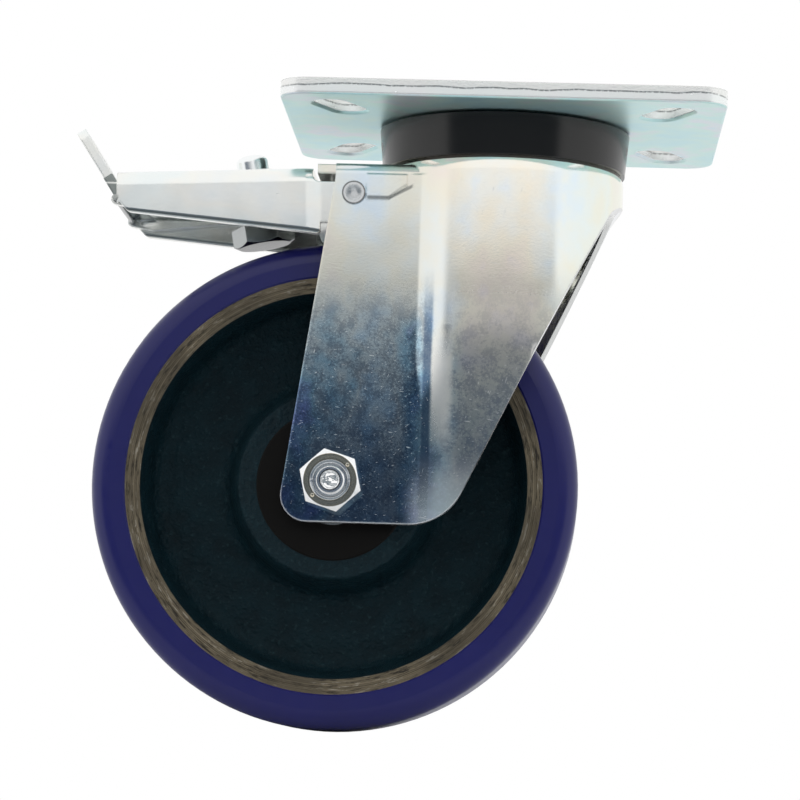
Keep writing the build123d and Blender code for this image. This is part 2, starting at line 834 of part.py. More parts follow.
def web_height(along):
    """Height of the web's top face at a place along X."""
    return -pedal_tip_drop + (along + pedal_tip) * math.tan(slope)


web_end = -lip_reach - pedal_lip_gap
ear_top = lip_bottom - pedal_ear_gap
ear_end = -pivot_back + pedal_ear_reach
ear_bottom = -pivot_drop - pedal_ear_below
with BuildPart() as brake_pedal:
    add(pedal_form(0))
    add(pedal_form(pedal_sheet), mode=Mode.SUBTRACT)
    # side outline of the flanges
    with BuildSketch(Plane.XZ) as flange_outline:
        with BuildLine():
            Polyline(
                (-pedal_tip, web_height(-pedal_tip)),
                (web_end, web_height(web_end)),
                (web_end, ear_top),
                (ear_end, ear_top),
                (ear_end, ear_bottom),
                (-pedal_heel, ear_bottom),
                (-pedal_heel, -pedal_heel_drop),
                (-pedal_toe, -pedal_toe_drop),
                (-release_pin_back, -release_pin_drop),
                close=True,
            )
        make_face()
        for corner, radius in (
            ((web_end, ear_top), pedal_ear_corner),
            ((ear_end, ear_top), pedal_ear_corner),
            ((ear_end, ear_bottom), pedal_ear_corner),
            ((-pedal_heel, -pedal_heel_drop), pedal_heel_corner),
            ((-pedal_toe, -pedal_toe_drop), pedal_toe_corner),
        ):
            fillet(flange_outline.vertices().sort_by_distance(corner)[0], radius)
        with Locations(release_pin):
            Circle(pedal_nose)
    extrude(amount=2 * pedal_half_width, both=True, mode=Mode.INTERSECT)
    # the web stops short of the tip, where the release tongue comes up
    with BuildSketch(pedal_top):
        with Locations((-pedal_nose, 0)):
            Rectangle(
                pedal_nose + pedal_tip_notch,
                2 * (pedal_half_width - pedal_sheet),
                align=(Align.MIN, Align.CENTER),
            )
    extrude(amount=-pedal_depth, mode=Mode.SUBTRACT)
    # hole for the welded boss, and holes for the rivet and the release pin
    with BuildSketch(Plane(origin=screw_face, x_dir=(0, 1, 0), z_dir=screw_direction)):
        Circle(boss_diameter / 2)
    extrude(amount=2 * brake_screw_reach, mode=Mode.SUBTRACT)
    with BuildSketch(Plane.XZ):
        with Locations(pivot):
            Circle(pivot_diameter / 2 + pivot_play)
        with Locations(release_pin):
            Circle(release_pin_diameter / 2)
    extrude(amount=2 * pedal_half_width, both=True, mode=Mode.SUBTRACT)
keep(brake_pedal.part, "brake_pedal")

# ---------------------------------------------------------------- brake screw, boss and lock nut


def screw_plane(distance):
    """Plane square to the brake screw, a distance up from the face that meets the tread."""
    return Plane(origin=screw_face + screw_direction * distance, x_dir=(0, 1, 0), z_dir=screw_direction)


head_below = Plane(
    origin=screw_face + screw_direction * axle_head, x_dir=(0, 1, 0), z_dir=screw_direction * -1
)
with BuildPart() as brake_screw:
    add(hex_block(head_below, axle_flats, axle_head, brake_head_turn))
    with BuildSketch(screw_plane(axle_head)):
        Circle(axle_radius)
    extrude(amount=brake_screw_reach - axle_head)
    fillet(brake_screw.faces().sort_by(Axis.Z)[-1].edges(), brake_screw_dome)
keep(brake_screw.part, "brake_screw")

with BuildPart() as screw_boss:
    with BuildSketch(screw_plane(boss_foot)):
        Circle(boss_diameter / 2)
        Circle(axle_radius + thread_play, mode=Mode.SUBTRACT)
    extrude(amount=boss_height)
    boss_rims = screw_boss.edges().filter_by(GeomType.CIRCLE).sort_by(SortBy.RADIUS)[-2:]
    chamfer(boss_rims.sort_by(Axis.Z)[-1], boss_edge)
keep(screw_boss.part, "screw_boss")

with BuildPart() as brake_lock_nut:
    add(hex_block(screw_plane(boss_foot - thin_nut_height), axle_flats, thin_nut_height, brake_head_turn))
    with BuildSketch(screw_plane(boss_foot - thin_nut_height)):
        Circle(axle_radius + thread_play)
    extrude(amount=thin_nut_height, mode=Mode.SUBTRACT)
keep(brake_lock_nut.part, "brake_lock_nut")

# ---------------------------------------------------------------- lock plate

# Welded between the flanges, it lifts a tooth into the lock ring when the pedal is pressed.
half_plan = [
    (-lock_plate_back, flange_inside),
    (-lock_plate_shoulder, flange_inside),
    (-lock_tongue_shoulder, lock_tongue_width / 2),
    (-lock_tongue_end, lock_tongue_width / 2),
]
with BuildPart() as lock_plate:
    with BuildSketch(Plane.XY.offset(-lock_plate_drop)):
        with BuildLine():
            Polyline(*half_plan, *[(along, -across) for along, across in reversed(half_plan)], close=True)
        make_face()
    extrude(amount=-lock_plate_sheet)
    with BuildSketch(Plane.XY.offset(-lock_plate_drop)):
        with Locations((-lock_ring_radius + lock_tooth_gap, 0)):
            Rectangle(lock_tooth_length, lock_tooth_width, align=(Align.MIN, Align.CENTER))
    extrude(amount=lock_tooth_height)
keep(lock_plate.part, "lock_plate")

# ---------------------------------------------------------------- rivet and return spring

pivot_section = Plane(origin=(pivot[0], 0, pivot[1]), x_dir=(0, 1, 0), z_dir=(1, 0, 0))
rivet_end = fork_half + pivot_head_height
half_rivet = [
    (rivet_end - pivot_recess_depth, 0),
    (rivet_end - pivot_recess_depth, pivot_recess_diameter / 4),
    (rivet_end, pivot_recess_diameter / 2),
    (rivet_end, pivot_head_diameter / 2),
    (fork_half, pivot_head_diameter / 2),
    (fork_half, pivot_diameter / 2),
]
brake_pivot = turned(
    pivot_section,
    Axis(pivot_section.origin, (0, 1, 0)),
    [*half_rivet, *[(-along, radius) for along, radius in reversed(half_rivet)]],
)
keep(brake_pivot, "brake_pivot")

# A hairpin leaf round the rivet, between the crown's lip and the lock plate.
spring_top = lip_bottom - spring_gap
spring_bottom = -lock_plate_drop + spring_gap
spring_bend = (spring_top - spring_bottom - spring_sheet) / 2
spring_middle = (spring_top + spring_bottom) / 2
with BuildPart() as pedal_spring:
    with BuildSketch(Plane.XZ):
        with BuildLine() as spring_line:
            hairpin = CenterArc((-pivot_back, spring_middle), spring_bend, 90, 180)
            Line(hairpin @ 0, hairpin @ 0 + Vector(spring_top_run, 0))
            Line(hairpin @ 1, hairpin @ 1 + Vector(spring_bottom_run, 0))
        trace(spring_line.wire(), spring_sheet)
    extrude(amount=spring_width / 2, both=True)
keep(pedal_spring.part, "pedal_spring")

# ---------------------------------------------------------------- release lever and its pin

lug_outside = pedal_half_width - pedal_sheet - release_lug_gap
release_tip = Vector(-release_tip_back, -release_tip_drop)
release_turn = math.radians(release_angle)
release_run = Vector(math.cos(release_turn), -math.sin(release_turn))
# This plane holds the tongue's middle, with its first coordinate down the tongue.
tongue_plane = Plane(
    origin=(release_tip.X, 0, release_tip.Y),
    x_dir=(release_run.X, 0, release_run.Y),
    z_dir=(-release_run.Y, 0, release_run.X),
)
tongue_foot = release_tip + release_run * release_length
tongue_neck = release_tip + release_run * release_narrow_length
with BuildPart() as release_lever:
    with BuildSketch(tongue_plane.offset(-release_sheet / 2)) as tongue_outline:
        with Locations((release_length / 2, 0)):
            Rectangle(release_length, release_tongue_width)
        fillet(tongue_outline.vertices().group_by(Axis.X)[0], release_tip_round)
        with Locations(((release_length + release_narrow_length) / 2, 0)):
            Rectangle(release_length - release_narrow_length, 2 * lug_outside)
    extrude(amount=release_sheet)
    # a lug on each side carries the pin and runs on as an arm under the pedal
    for side in (-1, 1):
        with BuildSketch(Plane.XZ.offset(side * lug_outside)):
            with BuildLine():
                Polyline(
                    (tongue_neck.X, tongue_neck.Y),
                    (release_pin[0] + release_arm_root, release_pin[1] + release_eye),
                    (-release_arm_back, -release_arm_drop + release_arm_height / 2),
                    (-release_arm_back, -release_arm_drop - release_arm_height / 2),
                    (release_pin[0] + release_arm_root, release_pin[1] - release_arm_depth),
                    (release_pin[0], release_pin[1] - release_eye),
                    (tongue_foot.X, tongue_foot.Y),
                    close=True,
                )
            make_face()
            with Locations(release_pin):
                Circle(release_eye)
            with Locations((release_pin[0] + release_slot_offset, release_pin[1])):
                SlotOverall(
                    release_slot_length,
                    release_slot_width,
                    rotation=release_slot_turn,
                    mode=Mode.SUBTRACT,
                )
        extrude(amount=-side * release_lug_sheet)
    with BuildSketch(Plane.XZ):
        with Locations(release_pin):
            Circle(release_pin_diameter / 2 + pivot_play)
    extrude(amount=2 * pedal_half_width, both=True, mode=Mode.SUBTRACT)
keep(release_lever.part, "release_lever")

with BuildPart() as release_pin_rod:
    with BuildSketch(Plane.XZ):
        with Locations(release_pin):
            Circle(release_pin_diameter / 2)
    extrude(amount=pedal_half_width + release_pin_head, both=True)
keep(release_pin_rod.part, "release_pin")
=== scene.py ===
# %% [markdown]
# # A swivel castor in a white tent
# The castor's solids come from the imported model. They are the frame: every piece already has its
# place, in metres, so nothing is fitted by eye. This lesson gives each surface its finish, adds
# the narrow lip along the fork's front edge, and lights the castor as a small part is lit for a
# catalogue.

# %% Load the frame
import json
import math

import bpy
import numpy as np
from mathutils import Matrix, Vector


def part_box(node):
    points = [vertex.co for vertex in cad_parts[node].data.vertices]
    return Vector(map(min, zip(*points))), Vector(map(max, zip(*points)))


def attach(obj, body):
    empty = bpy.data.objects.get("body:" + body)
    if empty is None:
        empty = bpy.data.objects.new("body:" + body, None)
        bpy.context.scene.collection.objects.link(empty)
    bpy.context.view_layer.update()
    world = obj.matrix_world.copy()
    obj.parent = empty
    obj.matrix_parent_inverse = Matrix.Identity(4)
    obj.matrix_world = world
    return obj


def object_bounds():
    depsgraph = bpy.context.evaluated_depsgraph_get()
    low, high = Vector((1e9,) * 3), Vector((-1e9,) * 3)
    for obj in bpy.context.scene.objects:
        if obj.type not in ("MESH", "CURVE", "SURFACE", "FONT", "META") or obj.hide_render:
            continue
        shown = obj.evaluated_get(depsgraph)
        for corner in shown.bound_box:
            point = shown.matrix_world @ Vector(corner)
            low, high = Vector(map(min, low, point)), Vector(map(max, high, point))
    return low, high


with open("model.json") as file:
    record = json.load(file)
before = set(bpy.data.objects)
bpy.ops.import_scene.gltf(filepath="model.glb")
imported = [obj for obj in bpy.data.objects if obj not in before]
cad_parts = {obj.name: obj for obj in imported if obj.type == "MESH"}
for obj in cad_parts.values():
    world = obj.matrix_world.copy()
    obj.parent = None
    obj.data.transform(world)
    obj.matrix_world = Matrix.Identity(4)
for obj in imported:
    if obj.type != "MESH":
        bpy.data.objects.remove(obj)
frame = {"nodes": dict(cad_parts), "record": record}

cad_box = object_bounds()
low, high = cad_box
nodes = frame["nodes"]
print("nodes:", len(nodes), "box in mm:", [round(1000 * (b - a), 1) for a, b in zip(low, high)])

# %% [markdown]
# ## The camera
# It hangs a metre in front of the castor and a little below the wheel's axle, so that the plate's
# underside shows. A long lens keeps the wheel round. Its three turns are kept as yaw, pitch and
# roll, and the matrix is built from them, which is easier to read than a list of nine numbers.

# %% Camera
CAMERA_PLACE = Vector((0.017742, -1.060497, -0.209688))
CAMERA_YAW, CAMERA_PITCH, CAMERA_ROLL = (math.radians(a) for a in (-2.592, 6.397, 1.923))
CAMERA_LENS = 153.66
CAMERA_RANGE = (0.01, 50.0)


def look(yaw, pitch, roll):
    """Camera axes: yaw turns forward away from +Y, pitch raises it, roll turns the other two."""
    flat_forward = Vector((math.sin(yaw), math.cos(yaw), 0))
    forward = flat_forward * math.cos(pitch) + Vector((0, 0, math.sin(pitch)))
    level_right = Vector((math.cos(yaw), -math.sin(yaw), 0))
    level_up = level_right.cross(forward)
    right = level_right * math.cos(roll) + level_up * math.sin(roll)
    return Matrix((right, right.cross(forward), -forward)).transposed().to_4x4()


camera = bpy.data.objects.new("camera", bpy.data.cameras.new("camera"))
camera.data.lens = CAMERA_LENS
camera.data.clip_start, camera.data.clip_end = CAMERA_RANGE
camera.matrix_world = Matrix.Translation(CAMERA_PLACE) @ look(CAMERA_YAW, CAMERA_PITCH, CAMERA_ROLL)
bpy.context.scene.collection.objects.link(camera)
bpy.context.scene.camera = camera
bpy.context.scene.view_settings.view_transform = "Standard"
print("camera to the castor's middle plane in mm:", round(1000 * -CAMERA_PLACE.y))

# %% [markdown]
# ## Writing a finish as sums
# A finish is a web of small nodes. Drawn by hand it's slow to read, so here a socket is wrapped in
# a class on which plus, minus, times and divided by add the matching Math node. The forms with the
# number first, as in 1 - mask, work too.

# %% Sums on sockets
class Wire:
    """One output socket, on which sums are written as on a number."""

    def __init__(self, web, socket):
        self.web, self.socket = web, socket

    def __add__(self, other):
        return self.web.sum("ADD", self, other)

    def __sub__(self, other):
        return self.web.sum("SUBTRACT", self, other)

    def __rsub__(self, other):
        return self.web.sum("SUBTRACT", other, self)

    def __mul__(self, other):
        return self.web.sum("MULTIPLY", self, other)

    def __truediv__(self, other):
        return self.web.sum("DIVIDE", self, other)

    def __rtruediv__(self, other):
        return self.web.sum("DIVIDE", other, self)

    def __abs__(self):
        return self.web.sum("ABSOLUTE", self)

    __radd__ = __add__
    __rmul__ = __mul__


# %% [markdown]
# ## The web of one finish
# Any node that isn't a sum comes from one method, which sets its choices first and its sockets
# after. The short methods below it are the few nodes that every finish uses. Node groups could
# hold them too, but a method is shorter and is read where it is used.

# %% The web of one finish
class Web:
    """The nodes of one material or world, with short names for those that every finish uses."""

    def __init__(self, owner):
        owner.use_nodes = True
        self.owner, self.tree = owner, owner.node_tree
        self.tree.nodes.clear()

    def node(self, kind, settings, sockets, output=0):
        """A node of any kind: settings first, then the values or links of its sockets."""
        made = self.tree.nodes.new(kind)
        for name, value in settings.items():
            if name == "stops":
                fill_ramp(made.color_ramp, value)
            else:
                setattr(made, name, value)
        for name, value in sockets.items():
            if isinstance(value, Wire):
                self.tree.links.new(value.socket, made.inputs[name])
            else:
                made.inputs[name].default_value = value
        return Wire(self, made.outputs[output]) if len(made.outputs) else None

    def sum(self, operation, *values):
        return self.node("ShaderNodeMath", {"operation": operation}, dict(enumerate(values)))

    def largest(self, first, *others):
        for other in others:
            first = self.sum("MAXIMUM", first, other)
        return first

    def step(self, value, start, end):
        """0 before start and 1 past end, with a soft run between them. Start may be above end."""
        low_end, high_end = (0.0, 1.0) if start < end else (1.0, 0.0)
        return self.node(
            "ShaderNodeMapRange", {"interpolation_type": "SMOOTHSTEP"},
            {"Value": value, 1: min(start, end), 2: max(start, end), 3: low_end, 4: high_end},
        )

    def between(self, value, rise, fall):
        """1 between two soft steps, each given as its start and end, and 0 outside them."""
        return self.step(value, *rise) * self.step(value, *fall)

    def mix(self, share, first, second, blend="MIX"):
        """Colour that goes from the first to the second as share goes from 0 to 1."""
        choices = {"data_type": "RGBA", "blend_type": blend}
        return self.node("ShaderNodeMix", choices, {0: share, 6: first, 7: second}, 2)

    def layers(self, colour, *covers):
        """A colour with others laid over it, each with the share to which it covers."""
        for share, cover in covers:
            colour = self.mix(share, colour, cover)
        return colour

    def place(self, turn=(0, 0, 0), stretch=(1, 1, 1), centre=(0, 0, 0)):
        """Place on the piece in metres, moved to a centre, turned and stretched."""
        where = self.node("ShaderNodeTexCoord", {}, {}, "Object")
        moved = self.node("ShaderNodeVectorMath", {"operation": "SUBTRACT"}, {0: where, 1: centre})
        sockets = {"Vector": moved, "Rotation": turn, "Scale": stretch}
        return self.node("ShaderNodeMapping", {}, sockets)

    def axes(self, vector):
        """The three numbers of a vector."""
        split = self.node("ShaderNodeSeparateXYZ", {}, {0: vector})
        return [Wire(self, socket) for socket in split.socket.node.outputs]

    def noise(self, vector, grain, detail=2.0, rough=0.5):
        """Smooth random pattern from 0 to 1, whose lumps are about one grain across."""
        sockets = {"Vector": vector, "Scale": 1 / grain, "Detail": detail, "Roughness": rough}
        return self.node("ShaderNodeTexNoise", {}, sockets)

    def ramp(self, value, stops):
        return self.node("ShaderNodeValToRGB", {"stops": stops}, {0: value})

    def bump(self, height, strength, distance, below=None):
        """Surface direction of a relief. The height is a share of the distance."""
        sockets = {"Strength": strength, "Distance": distance, "Height": height}
        if below is not None:
            sockets["Normal"] = below
        return self.node("ShaderNodeBump", {}, sockets)

    def surface(self, **sockets):
        """Ends the finish in one Principled shader. Names have _ in place of a space."""
        spaced = {name.replace("_", " "): value for name, value in sockets.items()}
        shader = self.node("ShaderNodeBsdfPrincipled", {}, spaced)
        self.node("ShaderNodeOutputMaterial", {}, {"Surface": shader})
        return self.owner


def fill_ramp(band, stops):
    """Puts a ramp's stops in place, each a position and a colour."""
    while len(band.elements) < len(stops):
        band.elements.new(1.0)
    for element, (position, colour) in zip(band.elements, stops):
        element.position, element.color = position, (*colour, 1.0)


def finish(name):
    """A new, empty finish."""
    return Web(bpy.data.materials.new(name))


# %% [markdown]
# ## The studio
# Plated steel has hardly a colour of its own: it shows the room. A small part like this is set in
# a white tent, with a gap that the lens looks through, and the gap is what draws the dark lower
# half on the flat steel. Lamps could be placed to do this, but a world whose brightness is worked
# out from the direction says it in one place: a ramp over the rise in degrees gives the gap's
# shades from its foot to its top. Rays from the camera see plain white instead.

# %% World
GAP_HALF_WIDTH = math.radians(48)
GAP_SIDE_SOFT = math.radians(9)
GAP_FOOT_SOFT = 4.0
GAP_RANGE = (-50.0, 10.0)
GAP_RISE = [
    (-50.0, (0.92, 0.93, 0.94)), (-34.0, (0.70, 0.72, 0.73)), (-12.0, (0.23, 0.26, 0.28)),
    (0.5, (0.20, 0.235, 0.26)), (3.4, (0.055, 0.08, 0.12)), (5.2, (0.02, 0.042, 0.085)),
    (6.2, (0.05, 0.08, 0.12)), (7.0, (0.13, 0.16, 0.19)), (7.8, (0.30, 0.33, 0.35)),
    (8.5, (0.60, 0.61, 0.62)), (9.6, (1.0, 1.0, 1.0)),
]
TENT_COLOUR = (1, 1, 1, 1)

tent = Web(bpy.data.worlds.new("white tent"))
bpy.context.scene.world = tent.owner
ray = tent.node("ShaderNodeTexCoord", {}, {}, "Generated")
ray_x, ray_y, ray_z = tent.axes(ray)
ray_turn = abs(tent.sum("ARCTAN2", ray_x, 0 - ray_y))
ray_rise = tent.sum("ARCSINE", ray_z)
gap_low, gap_high = GAP_RANGE
gap_height = gap_high - gap_low
level = (ray_rise * math.degrees(1) - gap_low) / gap_height
gap_stops = [((angle - gap_low) / gap_height, colour) for angle, colour in GAP_RISE]
gap = tent.step(ray_turn, GAP_HALF_WIDTH + GAP_SIDE_SOFT, GAP_HALF_WIDTH)
gap = gap * tent.step(ray_rise, math.radians(gap_low - GAP_FOOT_SOFT), math.radians(gap_low))
room = tent.mix(gap, TENT_COLOUR, tent.ramp(level, gap_stops))
to_camera = tent.node("ShaderNodeLightPath", {}, {}, "Is Camera Ray")
seen = tent.mix(to_camera, room, TENT_COLOUR)
glow = tent.node("ShaderNodeBackground", {}, {"Color": seen, "Strength": 1.0})
tent.node("ShaderNodeOutputWorld", {}, {"Surface": glow})
print("the tent's gap is", round(math.degrees(2 * GAP_HALF_WIDTH)), "degrees wide")

# %% [markdown]
# ## The floor
# The castor stands on a pale sheet, which takes its shadow. It ends a hand's width in front of the
# wheel, so that the legs' lower half reflects the gap and not the floor. The camera is a little
# lower than the sheet, so the sheet has one side: its shader turns clear where a ray meets its
# back.

# %% Floor
FLOOR_REACH = 4.0
FLOOR_FRONT = -0.16
FLOOR_GAP = 0.0003
FLOOR_COLOUR = (0.9, 0.9, 0.9, 1)

floor_height = low.z - FLOOR_GAP
corners = [
    (-FLOOR_REACH, FLOOR_FRONT, floor_height), (FLOOR_REACH, FLOOR_FRONT, floor_height),
    (FLOOR_REACH, FLOOR_REACH, floor_height), (-FLOOR_REACH, FLOOR_REACH, floor_height),
]
floor_mesh = bpy.data.meshes.new("floor")
floor_mesh.from_pydata(corners, [], [(0, 1, 2, 3)])
floor = bpy.data.objects.new("floor", floor_mesh)
bpy.context.scene.collection.objects.link(floor)

paper = finish("floor paper")
matte = paper.node("ShaderNodeBsdfDiffuse", {}, {"Color": FLOOR_COLOUR})
clear = paper.node("ShaderNodeBsdfTransparent", {}, {})
from_below = paper.node("ShaderNodeNewGeometry", {}, {}, "Backfacing")
one_sided = paper.node("ShaderNodeMixShader", {}, {0: from_below, 1: matte, 2: clear})
paper.node("ShaderNodeOutputMaterial", {}, {"Surface": one_sided})
floor.data.materials.append(paper.owner)
print("floor at", round(1000 * floor_height, 1), "mm")

# %% [markdown]
# ## Zinc plating
# The pressed steel is plated with zinc and dipped to a clear blue film. Up close it's a soft
# mirror: slow swells from the rolling mill bend what it reflects, a film thinner than a hair's
# hundredth tints it pink, straw and blue in wide drifts, and handling leaves short pale scratches.
# Each of these is one noise at its own grain, so their sizes can be set apart.

# %% Marks that plated steel carries
PALE_ZINC = (0.95, 0.96, 0.97, 1)
SCRATCH_SOFT = 0.05
EDGE_SAMPLES = 4
EDGE_TURNED = (0.995, 0.94)
FILM_GRAIN, FILM_FINE_GRAIN = 0.024, 0.007
SWELL_GRAIN, SWELL_STRENGTH = 0.014, 0.25


def scratches(web, grain, length, turn, amount):
    """Sparse short lines: a noise drawn out along one direction, with only its peaks kept."""
    drawn_out = web.node(
        "ShaderNodeMapping", {"vector_type": "TEXTURE"},
        {"Vector": web.place(), "Rotation": (0, math.radians(turn), 0), "Scale": (1, 1, length)},
    )
    return web.step(web.noise(drawn_out, grain, detail=1.0), 1 - amount, 1 - amount + SCRATCH_SOFT)


def scored_lines(web, marks):
    """All the scratches of a finish in one mask."""
    first, *others = [scratches(web, *mark) for mark in marks]
    return web.sum("MINIMUM", sum(others, start=first), 1.0)


def facing(web):
    """The three parts of the direction that the surface faces."""
    return web.axes(web.node("ShaderNodeNewGeometry", {}, {}, "Normal"))


def edges(web, radius):
    """Surface direction with the sharp edges rounded to a radius, as a tumbled sheet has them."""
    return web.node("ShaderNodeBevel", {"samples": EDGE_SAMPLES}, {"Radius": radius})


def edge_share(web, radius):
    """1 where the rounding turns a sharp edge, 0 on the flat."""
    flat = web.node("ShaderNodeNewGeometry", {}, {}, "Normal")
    both = {0: edges(web, radius), 1: flat}
    agreement = web.node("ShaderNodeVectorMath", {"operation": "DOT_PRODUCT"}, both, "Value")
    return web.step(agreement, *EDGE_TURNED)


def film(web, upright=0.4):
    """Drifts of the clear film, from 0 to 1, longer upright than across."""
    drift = web.noise(web.place(stretch=(1, 1, upright)), FILM_GRAIN, 2.5, 0.55)
    return drift * 0.8 + web.noise(web.place(), FILM_FINE_GRAIN, 2.0) * 0.2


def rolled(web, edge, swell_height=0.0002):
    """Rounded edges under the slow swells of a rolled sheet."""
    swell = web.noise(web.place(stretch=(1, 1, 0.5)), SWELL_GRAIN, 1.0)
    return web.bump(swell, SWELL_STRENGTH, swell_height, edges(web, edge))


print("kinds of mark on plated steel: scratches, rounded edges, film, swells")

# %% [markdown]
# ## Where the fork's marks lie
# The fork is drawn deep, and the drawing shows: the round upper part is stretched bright and the
# flat lower legs keep a blue bloom. A painted highlight runs down the hollow crease between them
# and onto the leg's front corner, and painted shade lies beside the crease and toward the legs'
# feet.
# The bloom starts lower at the front than at the back. A mask says where each mark lies: it's a
# number from 0 to 1, worked out as a product of soft steps along X and Z. Each pair below is a
# step's start and end, in metres. An image texture could be painted instead, but steps stay sharp
# close up.

# %% Places on the fork
FRONT_STEP = (-0.020, -0.008)
EAR_STEP, NOSE_STEP = (-0.030, -0.006), (0.008, 0.026)
BLOOM_TOP, BLOOM_RUN, BLOOM_FRONT_DROP = -0.065, 0.013, 0.009
# painted shade: below this step the legs are painted darker toward their feet
LOW_LEG_SHADE_STEP = (-0.088, -0.125)
# The crease's steps place a painted highlight down the crease, and the corner's steps one more on
# the leg's front corner.
CREASE_RISE, CREASE_FALL = (-0.0203, -0.0188), (-0.0122, -0.0160)
CREASE_FOOT_STEP, CREASE_HIGHLIGHT_STEP = (-0.114, -0.090), (-0.070, -0.084)
# painted shade in the hollow beside the crease, laid over the reflection there
HOLLOW_SHADE_RISE, HOLLOW_SHADE_FALL = (-0.0230, -0.0218), (-0.0192, -0.0200)
CORNER_STEP, CORNER_FOOT_STEP = (-0.029, -0.020), (-0.108, -0.126)
FRONT_RUB_STEP, FRONT_RUB_FOOT_STEP = (-0.021, -0.014), (-0.053, -0.068)


def crease_mask(web, along_x, height):
    """1 in the hollow crease between the flat leg and the round skirt."""
    return web.between(along_x, CREASE_RISE, CREASE_FALL) * web.step(height, *CREASE_FOOT_STEP)


def bloom_mask(web, height, front, crease):
    """1 where the film is blue: below a line that is lower and softer at the front, and mostly not
    in the crease, which keeps the painted highlight.
    """
    above_line = (height - BLOOM_TOP + front * BLOOM_FRONT_DROP) / (1 + front)
    return web.step(above_line, BLOOM_RUN, -BLOOM_RUN) * (1 - crease * 0.85)


def highlight_masks(web, along_x, height, crease):
    """1 on the painted highlight in the crease and on the leg's front corner, and 1 on that corner
    alone.
    """
    corner = web.step(along_x, *CORNER_STEP) * web.step(height, *CORNER_FOOT_STEP)
    return web.largest(crease * web.step(height, *CREASE_HIGHLIGHT_STEP), corner * 0.8), corner


def front_rub_mask(web, along_x, height, crease):
    """1 where the round skirt is brushed dull."""
    skirt = web.step(along_x, *FRONT_RUB_STEP) * web.step(height, *FRONT_RUB_FOOT_STEP)
    return skirt * (1 - crease)


print("fork: bloom below", round(1000 * BLOOM_TOP), "mm")

# %% [markdown]
# ## Fine lines on the fork
# Three lines show how the sheet was worked: the band that the shear left along the inner front
# edge, the foot of the pad pressed round the rivet, and the rounded edge at each leg's foot. Each
# is a tenth of a millimetre deep. A bump would do for a soft line, and a clean edge needs more:
# there the surface's direction is led over to the way that the real edge faces. The pad's foot is
# also painted dark in the colour, as a painted shadow under the pad's edge.

# %% Fine lines on the fork
PAD_ENDS = ((-0.0416, -0.0406), (-0.0268, -0.0278))
PAD_BEND, PAD_FOOT, PAD_SLOPE = -0.0344, -0.0315, 0.534
PAD_LINE_STEP = (0.0009, 0.0002)
FRONT_FOOT = (-0.0144, -0.1317)
FRONT_SLOPE = math.radians(64.1)
SHEARED_STEP = (0.0020, 0.0018)
SKIRT_INSIDE_STEP = (0.0376, 0.0372)
SHEARED_START = (0.010, 0.012)
SHEARED_FACING = (0.64, -0.72, -0.25)
FOOT_EDGE_RADIUS = 0.0007
FOOT_EDGE_STEP = (-0.119, -0.125)
FOOT_FACING = (0.0, 0.85, -0.53)


def pad_line(web, along_x, height):
    """1 along the foot of the pad beside the rivet: level at first, then rising to the front."""
    foot = PAD_FOOT + web.sum("MAXIMUM", along_x - PAD_BEND, 0.0) * PAD_SLOPE
    return web.step(abs(height - foot), *PAD_LINE_STEP) * web.between(along_x, *PAD_ENDS)


def front_band(web):
    """1 on the inner face in a band along the front edge, 0 elsewhere.

    The distance behind the edge's straight line is measured square to it in the side view, and the
    inner face is told from the outer one by its distance from the swivel's axis.
    """
    along_x, along_y, along_z = web.axes(web.place())
    foot_x, foot_z = FRONT_FOOT
    behind = (along_z - foot_z) * math.cos(FRONT_SLOPE) - (along_x - foot_x) * math.sin(FRONT_SLOPE)
    reach = web.sum("SQRT", along_x * along_x + along_y * along_y)
    inside = web.step(reach, *SKIRT_INSIDE_STEP) * web.step(along_x, *SHEARED_START)
    return inside * web.step(abs(behind), *SHEARED_STEP)


def outward(web, part_x, part_y, part_z):
    """A direction whose Y part points out of the castor on both of its sides."""
    side = web.sum("SIGN", web.axes(web.place())[1])
    return web.node("ShaderNodeCombineXYZ", {}, {0: part_x, 1: side * part_y, 2: part_z})


def led_to(web, share, direction, relief):
    """The relief's direction, led over to another direction as share goes from 0 to 1."""
    led = web.node("ShaderNodeMix", {"data_type": "VECTOR"}, {0: share, 4: relief, 5: direction}, 1)
    return web.node("ShaderNodeVectorMath", {"operation": "NORMALIZE"}, {0: led})


print("fork: pad line", round(1000 * (PAD_ENDS[1][0] - PAD_ENDS[0][1]), 1), "mm long")

# %% [markdown]
# ## The fork's plating
# On a blued leg the film is never even. A fine mottle breaks it up, larger blotches dull it, and
# pale specks show where the zinc's crystals stand through. Each could have a noise of its own, but
# mottle and specks share one, so that the specks sit on the mottle. The tints are laid over each
# other: film and dulling first, then painted shade toward the legs' feet and beside the crease,
# then the painted highlight in the crease and on the front corner, then the pad's painted shadow,
# and wear last.

# %% Fork finish
CUP_TINTS = [
    (0.30, (0.82, 0.89, 0.95)), (0.38, (0.91, 0.91, 0.86)), (0.48, (0.95, 0.89, 0.76)),
    (0.57, (0.95, 0.86, 0.76)), (0.64, (0.92, 0.84, 0.86)), (0.74, (0.82, 0.88, 0.95)),
]
BLOOM_TINTS = [
    (0.30, (0.22, 0.44, 0.86)), (0.40, (0.38, 0.58, 0.76)), (0.49, (0.62, 0.70, 0.72)),
    (0.57, (0.36, 0.58, 0.72)), (0.66, (0.34, 0.42, 0.82)), (0.74, (0.24, 0.44, 0.82)),
]
FRONT_TINTS = [(0.35, (0.20, 0.25, 0.27)), (0.50, (0.31, 0.34, 0.34)), (0.65, (0.24, 0.28, 0.31))]
EAR_TINT, MIDDLE_TINT, NOSE_TINT = (0.84, 0.88, 0.91, 1), (1, 1, 1, 1), (0.90, 0.97, 1.0, 1)
DULL_BLUE, LOW_LEG_SHADE = (0.07, 0.10, 0.17, 1), (0.028, 0.062, 0.125, 1)
